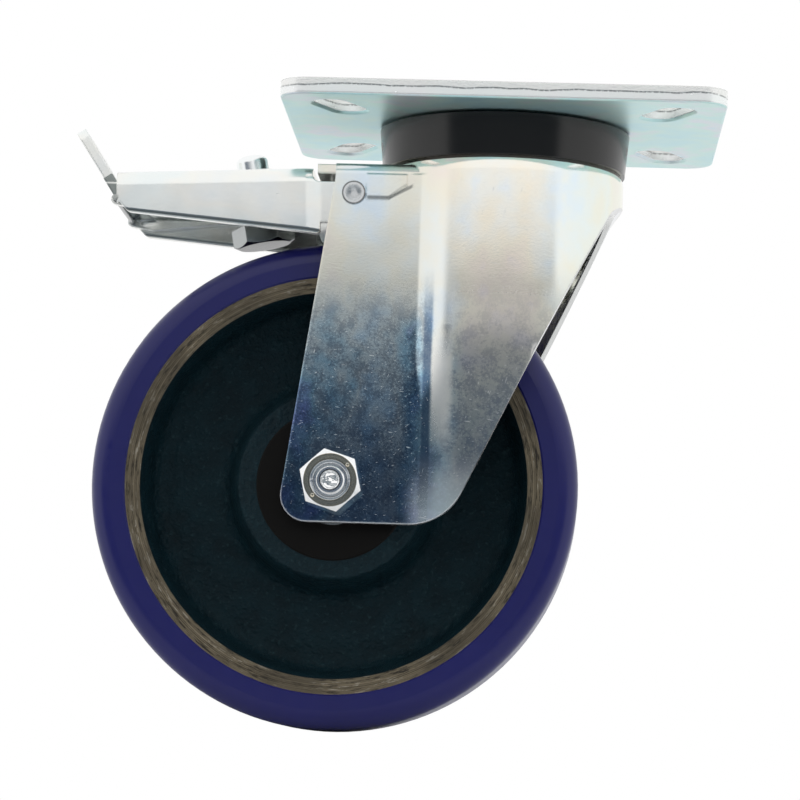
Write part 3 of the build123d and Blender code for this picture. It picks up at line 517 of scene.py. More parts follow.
HOLLOW_SHADE, PAD_SHADOW = (0.06, 0.11, 0.20, 1), (0.12, 0.13, 0.13, 1)
CREASE_HIGHLIGHT, CORNER_HIGHLIGHT = (0.95, 0.95, 0.93, 1), (0.52, 0.60, 0.62, 1)
FORK_MARKS = [
    (0.0005, 11, 100, 0.265), (0.0004, 16, 55, 0.26), (0.0005, 9, 15, 0.265), (0.0003, 4, 80, 0.28),
]
MOTTLE_GRAIN, BLOTCH_GRAIN = 0.0008, 0.0045
MOTTLE_DEPTH, PAD_DEPTH, FORK_EDGE = 0.000014, 0.0002, 0.0008
HIGHLIGHT_LIFT = 0.035
FORK_ROUGHEST = 0.5


def fork_film(web, along_x, front, bloom):
    """The film's tints: pale above, and blue at the back or grey at the front below."""
    drift = film(web)
    middle, nose = web.step(along_x, *EAR_STEP), web.step(along_x, *NOSE_STEP)
    sides = web.layers(EAR_TINT, (middle, MIDDLE_TINT), (nose, NOSE_TINT))
    above = web.mix(1.0, web.ramp(drift, CUP_TINTS), sides, "MULTIPLY")
    below = web.mix(front, web.ramp(drift, BLOOM_TINTS), web.ramp(drift, FRONT_TINTS))
    return web.mix(bloom, above, below)


def fork_finish():
    web = finish("fork zinc")
    along_x, _, height = web.axes(web.place())
    front = web.step(along_x, *FRONT_STEP)
    crease = crease_mask(web, along_x, height)
    bloom = bloom_mask(web, height, front, crease)
    painted_highlight, corner = highlight_masks(web, along_x, height, crease)
    pad, sheared = pad_line(web, along_x, height), front_band(web)
    foot_edge = edge_share(web, FOOT_EDGE_RADIUS) * web.step(height, *FOOT_EDGE_STEP)

    mottle = web.noise(web.place(), MOTTLE_GRAIN, 4.0, 0.75)
    blotch = web.noise(web.place(), BLOTCH_GRAIN, 3.0, 0.6)
    specks = web.step(mottle, 0.58, 0.70) * bloom
    scored = scored_lines(web, FORK_MARKS) * (0.25 + bloom * 0.75)
    worn = web.largest(scored * 0.45, sheared, specks * 0.14, foot_edge * 0.8)
    colour = web.layers(
        fork_film(web, along_x, front, bloom),
        (web.step(mottle * 0.5 + blotch * 0.5, 0.56, 0.42) * bloom * 0.5, DULL_BLUE),
        # painted shade, darker toward the legs' feet
        (web.step(height, *LOW_LEG_SHADE_STEP) * 0.45, LOW_LEG_SHADE),
        # painted shade in the hollow beside the crease
        (web.between(along_x, HOLLOW_SHADE_RISE, HOLLOW_SHADE_FALL) * bloom * 0.8, HOLLOW_SHADE),
        # painted highlight in the crease and on the leg's front corner
        (painted_highlight * 0.8, web.mix(corner, CREASE_HIGHLIGHT, CORNER_HIGHLIGHT)),
        # painted shadow along the pad's foot
        (pad * 0.7, PAD_SHADOW),
        (worn, PALE_ZINC),
    )

    relief = web.bump(mottle, 0.3, MOTTLE_DEPTH, rolled(web, FORK_EDGE))
    relief = web.bump(pad, -1.0, PAD_DEPTH, relief)
    relief = led_to(web, foot_edge * 0.9, outward(web, *FOOT_FACING), relief)
    relief = led_to(web, sheared, outward(web, *SHEARED_FACING), relief)
    rough = 0.075 + mottle * 0.05 + specks * 0.12 + scored * 0.25 + painted_highlight * 0.2
    rough = rough + front_rub_mask(web, along_x, height, crease) * 0.30
    return web.surface(
        Base_Color=colour,
        Metallic=1.0,
        Roughness=web.sum("MINIMUM", rough, FORK_ROUGHEST),
        Normal=led_to(web, painted_highlight * HIGHLIGHT_LIFT, (0, 0, 1), relief),
    )


fork_zinc = fork_finish()
print("fork finish:", len(fork_zinc.node_tree.nodes), "nodes")

# %% [markdown]
# ## The plate's plating
# The plate is sheared from thick sheet, and its edge keeps the two halves of a shear cut: a smooth
# burnished band, then a torn one, with a wavy dark line between them. It's drawn with a height
# that waves along the edge, and a bump cuts it in, so it goes all round. The wave is a noise that
# is stretched without end upward, so that it changes along the edge and never up it.

# %% Plate finish
PLATE_TINTS = [
    (0.30, (0.47, 0.73, 0.80)), (0.42, (0.54, 0.80, 0.83)), (0.52, (0.60, 0.82, 0.79)),
    (0.60, (0.70, 0.77, 0.82)), (0.68, (0.56, 0.77, 0.86)), (0.76, (0.76, 0.86, 0.72)),
]
FEW_MARKS = [(0.0005, 9, 80, 0.26)]
TORN_LINE, TORN_WAVE, WAVE_LENGTH = -0.0021, 0.0022, 0.018
TORN_LINE_STEP, TORN_BAND_STEP = (0.00042, 0.00008), (-0.0001, 0.0003)
FOOT_LINE_STEP = (-0.0044, -0.0048)
UPRIGHT_STEP = (0.5, 0.3)
PLATE_GRAIN, PLATE_EDGE = 0.0009, 0.0006
SHEARED_TINT, TORN_TINT = (0.97, 0.97, 0.96, 1), (0.80, 0.76, 0.70, 1)
LINE_SHADE = (0.16, 0.17, 0.17, 1)
TORN_DEPTH, LINE_DEPTH = 0.00012, 0.0001


def plate_finish():
    web = finish("plate zinc")
    _, _, height = web.axes(web.place())
    edge = web.step(abs(facing(web)[2]), *UPRIGHT_STEP)
    grain = web.noise(web.place(), PLATE_GRAIN, 3.0, 0.7)
    wave = web.noise(web.place(stretch=(1, 1, 0)), WAVE_LENGTH)
    above = height - TORN_LINE - (wave - 0.5) * TORN_WAVE
    torn = web.step(above, *TORN_BAND_STEP) * edge
    torn_line = web.step(abs(above), *TORN_LINE_STEP) * web.step(grain, 0.35, 0.55)
    foot_line = web.step(height, *FOOT_LINE_STEP) * web.step(grain, 0.40, 0.60)
    lines = web.largest(torn_line, foot_line) * edge
    scored = scored_lines(web, FEW_MARKS)
    colour = web.layers(
        web.ramp(film(web, 1.0), PLATE_TINTS),
        (edge * 0.85, SHEARED_TINT), (torn * grain * 0.5, TORN_TINT),
        (scored * 0.4, PALE_ZINC), (lines * 0.65, LINE_SHADE),
    )
    relief = web.bump(torn * 0.6 + grain * torn * 0.8, 0.5, TORN_DEPTH, rolled(web, PLATE_EDGE))
    return web.surface(
        Base_Color=colour,
        Metallic=0.72,
        Roughness=0.30 + grain * 0.06 - edge * 0.08 + scored * 0.1,
        Normal=web.bump(lines, -0.6, LINE_DEPTH, relief),
    )


plate_zinc = plate_finish()
print("plate finish: torn band above", round(1000 * TORN_LINE, 1), "mm")

# %% [markdown]
# ## The pedal's plating
# The pedal is paler than the fork. The lower edge of its flanges was rolled over by the shear, and
# a roll under a millimetre high is enough to turn the reflection down into the dark gap: a dark
# line with a bright one below it. A bevel would round both sides alike, so a bump that starts at
# the sloping edge draws the roll, and the dark line is also painted into the colour as a painted
# shadow. The release tongue is darker in two bands between given heights.

# %% Pedal finish
PEDAL_TINTS = [
    (0.30, (0.84, 0.90, 0.90)), (0.42, (0.88, 0.92, 0.91)), (0.52, (0.92, 0.92, 0.88)),
    (0.62, (0.89, 0.91, 0.90)), (0.74, (0.82, 0.88, 0.89)),
]
HEEL, TOE = (-0.0555, -0.0428), (-0.1190, -0.0375)
TOE_SLOPE = (TOE[1] - HEEL[1]) / (HEEL[0] - TOE[0])
SIDE_FACE_STEP = (0.7, 0.9)
EDGE_ROLL_STEP, EDGE_ROLL_DEPTH = (0.0003, 0.0017), 0.00012
SHADOW_RISE, SHADOW_FALL = (0.0005, 0.0009), (0.0017, 0.0011)
SHADOW_SHADE, DARK_BAND_TINT = (0.10, 0.12, 0.12, 1), (0.22, 0.25, 0.24, 1)
DARK_BAND_SOFT = 0.0002
# the release tongue is darker between these two pairs of heights
TONGUE_DARK_BANDS = [(-0.0252, -0.0279), (-0.0284, -0.0325)]
PEDAL_GRAIN, PEDAL_DEPTH, PEDAL_EDGE, PEDAL_SWELL = 0.0011, 0.000012, 0.0007, 0.0005


def dark_band(web, height, top, bottom):
    """1 between two heights, with a soft step at each."""
    fall = (top + DARK_BAND_SOFT, top - DARK_BAND_SOFT)
    rise = (bottom - DARK_BAND_SOFT, bottom + DARK_BAND_SOFT)
    return web.between(height, rise, fall)


def pedal_finish(name, dark_bands=()):
    """Pale plating with a rolled lower edge; dark_bands gives the heights between which it's dark.
    """
    web = finish(name)
    along_x, _, height = web.axes(web.place())
    above_edge = height - HEEL[1] + (along_x - HEEL[0]) * TOE_SLOPE
    side_face = web.step(abs(facing(web)[1]), *SIDE_FACE_STEP)
    roll = web.step(above_edge, *EDGE_ROLL_STEP) * side_face
    shadow = web.between(above_edge, SHADOW_RISE, SHADOW_FALL) * side_face
    grain = web.noise(web.place(), PEDAL_GRAIN, 4.0, 0.7)
    scored = scored_lines(web, FEW_MARKS)
    colour = web.layers(
        web.ramp(film(web, 1.0), PEDAL_TINTS),
        *((dark_band(web, height, *heights) * 0.9, DARK_BAND_TINT) for heights in dark_bands),
        # painted shadow: a dark line just above the flanges' lower edge
        (shadow * 0.75, SHADOW_SHADE), (scored * 0.5, PALE_ZINC),
    )
    relief = web.bump(grain, 0.3, PEDAL_DEPTH, rolled(web, PEDAL_EDGE, PEDAL_SWELL))
    return web.surface(
        Base_Color=colour,
        Metallic=1.0,
        Roughness=0.14 + grain * 0.06 + scored * 0.2,
        Normal=web.bump(roll, 1.0, EDGE_ROLL_DEPTH, relief),
    )


pedal_zinc = pedal_finish("pedal zinc")
tongue_zinc = pedal_finish("tongue zinc", TONGUE_DARK_BANDS)
toe_rise = math.degrees(math.atan(TOE_SLOPE))
print("pedal's lower edge rises by", round(toe_rise, 1), "degrees to its toe")

# %% [markdown]
# ## Bolts, nut and rivet
# A nut's face is turned on a lathe, so its fine marks run in rings, and the ramp paints the face
# darker than its bright chamfered corners: a painted reflection. The bolt's end has a rough centre,
# and the ramp paints it and a ring round it bright with dark rings between them, also painted
# reflection. The rivet's end was spun down into a dish, and the ramp paints shade on the dish's
# wall and round the head's edge. All are rings about an axis, so one ramp over the radius draws
# each, and a noise over the same radius adds the tool's fine marks.

# %% Turned finishes
SQUARE_STEP = (0.90, 0.97)
SIDE_TINT = (0.93, 0.94, 0.95, 1)
TURNING_GRAIN, TURNING_DEPTH, TURNED_EDGE = 0.0007, 0.00002, 0.0003
GLOSS_GRAIN = 0.0008
LUMP_GRAIN, LUMP_DEPTH, LUMP_STEP = 0.0016, 0.0007, (0.0030, 0.0022)


def from_axis(web, centre):
    """Place along X and Z from a line along Y, and the distance from it, in metres."""
    along_x, _, along_z = web.axes(web.place(centre=centre))
    return along_x, along_z, web.sum("SQRT", along_x * along_x + along_z * along_z)


def turning_marks(web, radius, grain, rough):
    """Fine rings as a lathe leaves them: a noise over the radius alone."""
    at_radius = web.node("ShaderNodeCombineXYZ", {}, {0: radius, 1: 0.0, 2: 0.0})
    return web.noise(at_radius, grain, 2.0, rough)


def turned(name, centre, reach, rings, rough, lump=0.0):
    """Painted rings of highlight and shade over the radius on faces square to the axis, and plain
    zinc on the others.
    """
    web = finish(name)
    _, _, radius = from_axis(web, centre)
    flat = web.step(abs(facing(web)[1]), *SQUARE_STEP)
    marks = turning_marks(web, radius, TURNING_GRAIN, 0.6) * flat
    grain = web.noise(web.place(), GLOSS_GRAIN, 3.0, 0.7)
    lumps = web.noise(web.place(), LUMP_GRAIN, 1.0) * web.step(radius, *LUMP_STEP) * lump
    relief = web.bump(lumps, 1.0, LUMP_DEPTH, edges(web, TURNED_EDGE))
    return web.surface(
        Base_Color=web.mix(flat, SIDE_TINT, web.ramp(radius / reach, rings)),
        Metallic=1.0,
        Roughness=rough + grain * 0.05 + scored_lines(web, FEW_MARKS) * 0.2,
        Normal=web.bump(marks, 0.3, TURNING_DEPTH, relief),
    )


print("turning marks about", 1000 * TURNING_GRAIN, "mm apart")

# %% [markdown]
# ## Rings of the nut, the bolt's end and the rivet
# Each ring is a stop of a ramp: its share of the reach and its shade. Two stops close together
# make a hard line, as between the nut's washer face and its chamfer. The rings could be cut into
# the mesh instead, but they are only a hair deep, and a ramp is quicker to set.

# %% Rings
AXLE, RIVET = (-0.0490, 0, -0.1195), (-0.0453, 0, -0.0302)
NUT_REACH, BOLT_REACH, RIVET_REACH = 0.0085, 0.0050, 0.0037


def grey(level):
    """A grey that is a touch blue, as zinc is."""
    return (level, level * 1.01, level * 1.01)


# Painted reflection on the nut and the bolt's end, and painted shade in the rivet's dish and round
# its head.
NUT_PAINTED_RINGS = [
    (0.00, grey(0.30)), (0.58, grey(0.30)), (0.62, grey(0.16)), (0.66, grey(0.70)),
    (0.70, grey(0.70)), (0.74, (0.50, 0.45, 0.34)), (0.80, (0.85, 0.76, 0.58)),
    (0.94, (0.72, 0.64, 0.48)), (1.00, (0.80, 0.72, 0.55)),
]
BOLT_PAINTED_RINGS = [
    (0.00, grey(1.0)), (0.44, grey(1.0)), (0.50, grey(0.20)), (0.62, grey(0.16)),
    (0.68, grey(0.95)), (0.90, grey(0.95)), (0.95, grey(0.25)), (1.00, grey(0.30)),
]
RIVET_PAINTED_RINGS = [
    (0.00, grey(0.85)), (0.34, grey(0.75)), (0.46, grey(0.22)), (0.60, grey(0.30)),
    (0.70, grey(0.90)), (0.82, grey(0.85)), (0.92, grey(0.20)), (1.00, grey(0.25)),
]
nut_zinc = turned("nut zinc", AXLE, NUT_REACH, NUT_PAINTED_RINGS, 0.10)
bolt_end_zinc = turned("bolt end zinc", AXLE, BOLT_REACH, BOLT_PAINTED_RINGS, 0.10, lump=1.0)
rivet_zinc = turned("rivet zinc", RIVET, RIVET_REACH, RIVET_PAINTED_RINGS, 0.24)
print("stops in the rings:", len(NUT_PAINTED_RINGS), len(BOLT_PAINTED_RINGS), len(RIVET_PAINTED_RINGS))

# %% [markdown]
# ## Screws and washers
# The bolts are plated bright. Those under the pedal hang over the tread, and what looks down there
# sees little light, so their undersides get a painted dark tint of their own. The brake screw and
# its lock nut are painted darker as a whole, as shade under the pedal, with a painted lit top where
# the screw stands higher. A dark tint is simpler than a mask of the light that is cut off, and it
# turns with the pedal.

# %% Screws and washers
UNDER_STEP, TOP_SOFT = (-0.35, -0.75), 0.001
LIT_TOP_TINT = (0.93, 0.95, 0.95, 1)
SCREW_GRAIN, SCREW_DEPTH, SCREW_EDGE = 0.0009, 0.000015, 0.0004
NO_TOP, BRAKE_SCREW_TOP = 1.0, -0.028


def screw_finish(name, rounded_tint, under_tint, bright_above=NO_TOP):
    """Zinc, bright unless tinted darker, whose faces that look down are painted dark, as they see
    only the tread below them; above a height it gets a painted lit top.
    """
    web = finish(name)
    down = web.step(facing(web)[2], *UNDER_STEP)
    height = web.axes(web.place())[2]
    top = web.step(height, bright_above - TOP_SOFT, bright_above + TOP_SOFT)
    grain = web.noise(web.place(), SCREW_GRAIN, 4.0, 0.7)
    scored = scored_lines(web, FEW_MARKS)
    return web.surface(
        Base_Color=web.layers(
            (*rounded_tint, 1), (top, LIT_TOP_TINT), (down, (*under_tint, 1)), (scored * 0.5, PALE_ZINC)
        ),
        Metallic=1.0,
        Roughness=0.16 + grain * 0.06 + scored * 0.2,
        Normal=web.bump(grain, 0.3, SCREW_DEPTH, edges(web, SCREW_EDGE)),
    )


bolt_zinc = screw_finish("bolt zinc", (0.92, 0.93, 0.93), (0.80, 0.81, 0.81))
# the brake screw's darker body is painted shade under the pedal, and its top is painted lit
brake_zinc = screw_finish(
    "brake screw zinc", (0.42, 0.44, 0.44), (0.06, 0.06, 0.065), BRAKE_SCREW_TOP
)
pin_zinc = screw_finish("pin zinc", (0.50, 0.52, 0.50), (0.30, 0.31, 0.31))
print("screw finishes:", ", ".join(made.name for made in (bolt_zinc, brake_zinc, pin_zinc)))

# %% [markdown]
# ## Ground steel, spring steel and plastics
# The races and balls are ground bright, the hairpin spring is dark from the oven, and the seal
# ring and the bearing covers are moulded black. One flat colour would do for each, but a real
# highlight is never dead even, so a fine grain is laid in the gloss and the relief.

# %% Plain finishes
WIDE_GRAINS = 12
PLAIN_SHADE = 0.8


def plain(name, colour, metallic, rough, grain, relief, gloss=0.5, edge=0.0003):
    """One colour with a fine grain in its gloss and relief, and wide drifts to a darker shade."""
    web = finish(name)
    fine = web.noise(web.place(), grain, 3.0, 0.6)
    wide = web.noise(web.place(), WIDE_GRAINS * grain, 2.0)
    shade = tuple(PLAIN_SHADE * part for part in colour)
    return web.surface(
        Base_Color=web.mix(wide, (*shade, 1), (*colour, 1)),
        Metallic=metallic,
        Roughness=rough + fine * 0.1,
        Specular_IOR_Level=gloss,
        Normal=web.bump(fine, 0.3, relief, edges(web, edge)),
    )


def moulding(name, colour, rough, grain, gloss=0.5):
    return plain(name, colour, 0.0, rough, grain, 0.00002, gloss=gloss)


race_steel = plain("ground race steel", (0.66, 0.66, 0.67), 1.0, 0.12, 0.0006, 0.00001)
spring_steel = plain("dark spring steel", (0.16, 0.16, 0.17), 1.0, 0.35, 0.0008, 0.00002)
seal_black = moulding("glossy black moulding", (0.007, 0.0065, 0.006), 0.14, 0.0010)
cover_black = moulding("satin black moulding", (0.004, 0.0035, 0.003), 0.42, 0.0006, gloss=0.12)
cage_plastic = moulding("natural cage plastic", (0.55, 0.47, 0.33), 0.4, 0.0010)
print("plain finishes drift to", PLAIN_SHADE, "of their colour")

# %% [markdown]
# ## The wheel
# The core is cast iron with a thin dark teal paint: the sand leaves a lumpy skin that the paint
# follows. The rim's face is turned on a lathe after painting, so a ring of bare tan metal runs
# round it. Its streaks follow the ring. They could read an angle, but an angle jumps once a turn,
# so they read a point on a small circle instead, which comes back to itself without a seam.

# %% Wheel's measures
WHEEL_LOW, WHEEL_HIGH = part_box("wheel_core")
WHEEL_CENTRE = tuple((WHEEL_LOW + WHEEL_HIGH) / 2)
RIM_RADIUS = (WHEEL_HIGH.x - WHEEL_LOW.x) / 2
RIM_RING, RIM_SOFT = 0.0047, 0.0002
ROUND_RADIUS = RIM_RADIUS / 8


def drawn_round(web, along_x, along_z, radius):
    """A place with the way round the axle drawn together eightfold: noise there is streaks."""
    way_x, way_z = along_x / radius * ROUND_RADIUS, along_z / radius * ROUND_RADIUS
    return web.node("ShaderNodeCombineXYZ", {}, {0: way_x, 1: way_z, 2: radius})


print("wheel radius of the rim in mm:", round(1000 * RIM_RADIUS, 1))

# %% [markdown]
# ## Cast iron, painted and turned
# Two noises make the sand skin, a fine one and a lumpy one, and the paint is paler on the grains'
# tops, a tone that partly stands in as painted glints, and worn off a few of them. On the turned
# ring, the lathe's fine rings and the streaks drawn round it set the colour: bright tan where the
# tool cut clean, and dark where it tore.

# %% Cast iron finish
PAINT_DARK, PAINT_LIGHT = (0.001, 0.007, 0.011, 1), (0.004, 0.024, 0.033, 1)
PAINT_TOPS_AND_GLINTS, PAINT_WORN = (0.016, 0.040, 0.048, 1), (0.06, 0.07, 0.06, 1)
BARE_DARK, BARE_LIGHT = (0.080, 0.066, 0.045, 1), (0.25, 0.21, 0.145, 1)
TORN_STREAK, CLEAN_STREAK = (0.040, 0.036, 0.030, 1), (0.36, 0.33, 0.27, 1)
STAIN = (0.060, 0.052, 0.040, 1)
SAND_GRAIN, SAND_LUMPS, SAND_DEPTH = 0.0016, 0.007, 0.0013
TOOL_GRAIN, TOOL_DEPTH, STREAK_GRAIN, STAIN_GRAIN = 0.0004, 0.00006, 0.0009, 0.022
WORN_GRAIN = 0.0012


def iron_paint(web, sand, lumps):
    """Dark teal, paler on the tops of the sand grains, partly as painted glints, and worn off a
    few.
    """
    worn = web.step(web.noise(web.place(), WORN_GRAIN, 3.0, 0.7), 0.66, 0.76)
    thick = web.mix(lumps, PAINT_DARK, PAINT_LIGHT)
    return web.layers(thick, (web.step(sand, 0.54, 0.78), PAINT_TOPS_AND_GLINTS), (worn * 0.3, PAINT_WORN))


def turned_iron(web, tool_marks, streaks):
    """Bare tan metal in rings, with dark and pale streaks round it and a few wide stains."""
    stains = web.noise(web.place(), STAIN_GRAIN, 2.0)
    rings = web.mix(web.step(tool_marks, 0.35, 0.65), BARE_DARK, BARE_LIGHT)
    return web.layers(
        rings,
        (web.step(streaks, 0.50, 0.66), TORN_STREAK),
        (web.step(streaks, 0.42, 0.34), CLEAN_STREAK),
        (web.step(stains, 0.42, 0.62) * 0.5, STAIN),
    )


def iron_finish():
    web = finish("painted cast iron")
    along_x, along_z, radius = from_axis(web, WHEEL_CENTRE)
    ring_start = RIM_RADIUS - RIM_RING
    machined = web.step(radius, ring_start - RIM_SOFT, ring_start + RIM_SOFT)
    sand = web.noise(web.place(), SAND_GRAIN, 4.0, 0.6)
    lumps = web.noise(web.place(), SAND_LUMPS, 2.0)
    tool_marks = turning_marks(web, radius, TOOL_GRAIN, 0.8)
    streaks = web.noise(drawn_round(web, along_x, along_z, radius), STREAK_GRAIN, 4.0, 0.7)
    relief = web.bump(tool_marks, 0.4 * machined, TOOL_DEPTH)
    paint, bare = iron_paint(web, sand, lumps), turned_iron(web, tool_marks, streaks)
    return web.surface(
        Base_Color=web.mix(machined, paint, bare),
        Metallic=machined * 0.55,
        Roughness=0.42 + sand * 0.2 - machined * 0.08,
        Specular_IOR_Level=0.16,
        Normal=web.bump(sand + lumps * 0.8, 0.9 * (1 - machined), SAND_DEPTH, relief),
    )


painted_iron = iron_finish()
print("turned ring from", round(1000 * (RIM_RADIUS - RIM_RING), 1), "mm outward")

# %% [markdown]
# ## The tread
# The tread is cast in a smooth mould, so it has no sharp grain: only a slow haze in its colour and
# a soft unevenness in its gloss. A picture wrapped round it could give the same, but it would show
# a seam where its ends meet, and a noise read in space has none.

# %% Tread finish
TREAD_DARK, TREAD_LIGHT = (0.004, 0.005, 0.092, 1), (0.006, 0.007, 0.118, 1)
TREAD_GRAIN, TREAD_HAZE, TREAD_DEPTH = 0.003, 0.02, 0.00008

tread = finish("blue tread")
skin = tread.noise(tread.place(), TREAD_GRAIN, 3.0, 0.5)
blue_tread = tread.surface(
    Base_Color=tread.mix(tread.noise(tread.place(), TREAD_HAZE, 2.0), TREAD_DARK, TREAD_LIGHT),
    Roughness=0.26 + skin * 0.1,
    Specular_IOR_Level=0.45,
    Normal=tread.bump(skin, 0.25, TREAD_DEPTH),
)
print("tread grain in mm:", 1000 * TREAD_GRAIN)

# %% [markdown]
# ## The dressed front edge
# The sheet's front edge is cut by a shear and then turned in a little, or it would cut a hand.
# What shows is a narrow bright lip that runs up one leg, over the arch and down the other. It
# could be a bevel, but a bevel would change the fork, so it's a piece of its own: one small
# profile carried along the edge. The edge lies where the side outline meets the inside of the
# skirt.

# %% Path of the edge
SHEET = 0.003
CUP_RADIUS, CREASE_RADIUS, FORK_HALF = 0.0377, 0.010, 0.028
SINK_TOP, SINK_LENGTH, SINK_LEFT = -0.071, 0.056, 0.0003
CREASE_REACH = math.sqrt((CUP_RADIUS + CREASE_RADIUS) ** 2 - (FORK_HALF + CREASE_RADIUS) ** 2)
ARCH_TOP, ARCH_RADIUS = -0.027, 0.012
LIP_BOTTOM = -0.118
LEG_POINTS, ARCH_POINTS = 40, 60


def skirt_arc(height):
    """Centre and inside radius of the skirt's arc in plan.

    Below its top the skirt sinks into the flat leg: its bulge falls by a smooth step, and chord and
    bulge give the radius, (chord squared + bulge squared) / twice the bulge.
    """
    done = np.clip((SINK_TOP - height) / SINK_LENGTH, 0, 1)
    bulge = SINK_LEFT + (CUP_RADIUS - FORK_HALF - SINK_LEFT) * (1 - done**2 * (3 - 2 * done))
    both = (CREASE_REACH**2 + bulge**2) / (2 * bulge)
    hollow = both * CREASE_RADIUS / (CUP_RADIUS + CREASE_RADIUS)
    return FORK_HALF + bulge + hollow - both, both - hollow - SHEET


def outline_height(along_x):
    """Height of the side outline: a straight slope that a circle leads over to the level arch."""
    foot_x, foot_z = FRONT_FOOT
    slope = math.tan(FRONT_SLOPE)
    run = ARCH_RADIUS * math.tan(FRONT_SLOPE / 2)
    corner = foot_x + (ARCH_TOP - foot_z) / slope
    from_circle = along_x - (corner + run)
    straight = foot_z + (along_x - foot_x) * slope
    bent = ARCH_TOP - ARCH_RADIUS + np.sqrt(np.maximum(ARCH_RADIUS**2 - from_circle**2, 0))
    return np.where(along_x < corner - run * math.cos(FRONT_SLOPE), straight, bent)


def outline_x(height):
    """Where the outline's straight slope has a height."""
    return FRONT_FOOT[0] + (height - FRONT_FOOT[1]) / math.tan(FRONT_SLOPE)


def front_edge():
    """Points from the foot of one leg over the arch to the other, and the way inward at each.

    One half is a straight run up the leg and then equal turns round the cup, at the height that the
    outline has there. The other half is its mirror image.
    """
    reach = CUP_RADIUS - SHEET
    leg = np.linspace(outline_x(LIP_BOTTOM), outline_x(SINK_TOP), LEG_POINTS, endpoint=False)
    arch = reach * np.cos(np.linspace(math.acos(outline_x(SINK_TOP) / reach), 0, ARCH_POINTS))
    along_x = np.concatenate([leg, arch])
    height = outline_height(along_x)
    centre, radius = skirt_arc(height)
    across = np.sqrt(np.maximum(radius**2 - along_x**2, 0))
    points = np.stack([along_x, centre + across, height], axis=1)
    inward = np.stack([-along_x, -across, 0 * across], axis=1) / radius[:, None]
    mirror = (1, -1, 1)
    other_points, other_inward = points[-2::-1] * mirror, inward[-2::-1] * mirror
    return np.concatenate([points, other_points]), np.concatenate([inward, other_inward])


edge_points, edge_inward = front_edge()
edge_top = round(1000 * edge_points[:, 2].max(), 1)
print("front edge:", len(edge_points), "points, top at", edge_top, "mm")

# %% [markdown]
# ## From rings to a piece
# A profile carried along a path is a stack of rings with the same number of points. Each ring is
# joined to the next by one face per side, and a point in the middle of each end closes it. Blender
# can sweep a bevelled curve too, but rings let the profile turn as it goes. The volume tells which
# way the faces look: it's above zero when they all look outward.

# %% Pieces from rings
def carried(rings):
    """Points, four-sided faces and end triangles of closed rings joined into one piece."""
    count, around = rings.shape[:2]
    first = np.arange(count - 1)[:, None] * around
    here, there = np.arange(around), np.roll(np.arange(around), -1)
    sides = [first + here, first + there, first + around + there, first + around + here]
    start, end = np.full(around, count * around), np.full(around, count * around + 1)
    last = (count - 1) * around
    ends = np.concatenate([
        np.stack([start, there, here], axis=1), np.stack([end, last + here, last + there], axis=1),
    ])
    points = np.concatenate([rings.reshape(-1, 3), rings[[0, -1]].mean(axis=1)])
    return points, np.stack(sides, axis=-1).reshape(-1, 4), ends


def volume(points, sides, ends):
    """A sixth of the sum, over the triangles, of the box that the three corners span."""
    triangles = points[np.concatenate([sides[:, [0, 1, 2]], sides[:, [0, 2, 3]], ends])]
    a, b, c = triangles[:, 0], triangles[:, 1], triangles[:, 2]
    return float((np.cross(a, b) * c).sum() / 6)


def add_piece(name, points, faces, body, skin):
    """A new mesh piece that rides on a body and takes the given finish."""
    mesh = bpy.data.meshes.new(name)
    mesh.from_pydata(points.tolist(), [], faces)
    mesh.shade_flat()
    mesh.materials.append(skin)
    piece = bpy.data.objects.new(name, mesh)
    bpy.context.scene.collection.objects.link(piece)
    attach(piece, body)


print("piece from two rings of three points:", len(carried(np.zeros((2, 3, 3)))[1]), "sides")

# %% [markdown]
# ## The lip's profile
# The lip stands on the sheet's inner corner and leans into the fork and to the rear, the same way
# all along each leg, so that its front face looks out and aside to the tent's bright wall. A lip
# square to the edge would mirror the dark gap instead. Its foot is sunk in the sheet, so nothing
# gapes, and at both ends it shrinks to a point.

# %% Front lip
LIP_PROFILE = [
    (0, 0.3, -0.4), (0, 2.1, -0.3), (1.6, 0.4, 0), (1.7, 0.15, 0), (1.7, 0, 0), (0, -0.12, -0.05),
]
LIP_WAY = (-0.75, -0.66)
LIP_TURN_HALF = 0.020
LIP_TAPER, LIP_TIP = 0.05, 0.05
MILLIMETRE = 0.001


def unit(vectors):
    return vectors / np.linalg.norm(vectors, axis=1, keepdims=True)


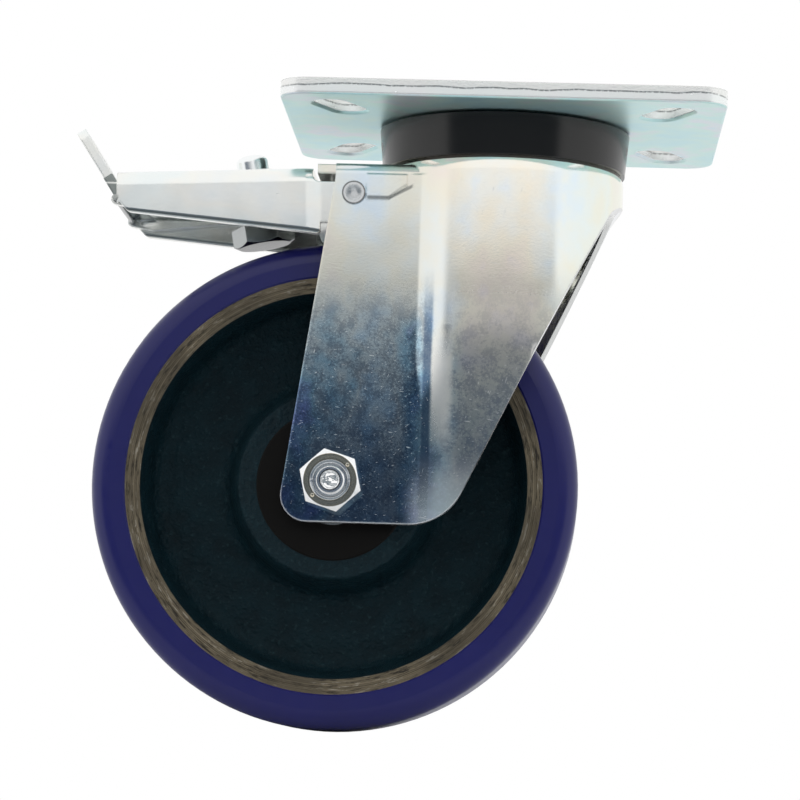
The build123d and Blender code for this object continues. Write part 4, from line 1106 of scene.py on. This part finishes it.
def lip_rings(points, inward):
    """The profile at each point of the edge: its parts along the lean, along the sheet, and inward.

    The lean's sideways part is a sine of Y, so it goes over from one leg to the other smoothly.
    """
    back = np.cross(inward, unit(np.gradient(points, axis=0)))
    side = np.sin(np.clip(points[:, 1] / LIP_TURN_HALF, -1, 1) * math.pi / 2)
    lean = unit(np.stack([LIP_WAY[0] + 0 * side, LIP_WAY[1] * side, 0 * side], axis=1))
    share = np.linspace(0, 1, len(points))
    size = MILLIMETRE * np.clip(np.minimum(share, 1 - share) / LIP_TAPER, LIP_TIP, 1)[:, None]
    offsets = [a * lean + b * back + c * inward for a, b, c in LIP_PROFILE]
    return np.stack([points + size * offset for offset in offsets], axis=1)


edge_zinc = plain("turned edge zinc", (0.80, 0.81, 0.80), 1.0, 0.20, 0.0008, 0.00002)
lip_points, lip_sides, lip_ends = carried(lip_rings(edge_points, edge_inward))
lip_faces = lip_sides.tolist() + lip_ends.tolist()
add_piece("front_lip", lip_points, lip_faces, "fork", edge_zinc)
lip_volume = volume(lip_points, lip_sides, lip_ends) / MILLIMETRE**3
print("front lip:", len(lip_faces), "faces, volume in mm3:", round(lip_volume))

# %% [markdown]
# ## Finishes onto the frame
# The record names a slot for each node, so one table from slot to finish dresses them all. A
# finish could be set piece by piece, but then a new ball or washer would be missed. A second table
# names the few pieces with finishes of their own: turned rings, painted shade and dark bands.

# %% Dress the nodes
FINISHES = {
    "plate_zinc": plate_zinc, "fork_zinc": fork_zinc, "pedal_zinc": pedal_zinc,
    "bolt_zinc": bolt_zinc, "race_steel": race_steel, "spring_steel": spring_steel,
    "seal_black": seal_black, "cover_black": cover_black, "cage_plastic": cage_plastic,
    "painted_iron": painted_iron, "blue_tread": blue_tread,
}
OWN_FINISHES = {
    "axle_nut": nut_zinc, "axle_bolt": bolt_end_zinc, "brake_pivot": rivet_zinc,
    "brake_screw": brake_zinc, "brake_lock_nut": brake_zinc, "release_pin": pin_zinc,
    "release_lever": tongue_zinc,
}
for part in frame["record"]["subparts"]:
    for place in nodes[part["node"]].material_slots:
        place.material = OWN_FINISHES.get(part["node"], FINISHES[part["material_slot"]])
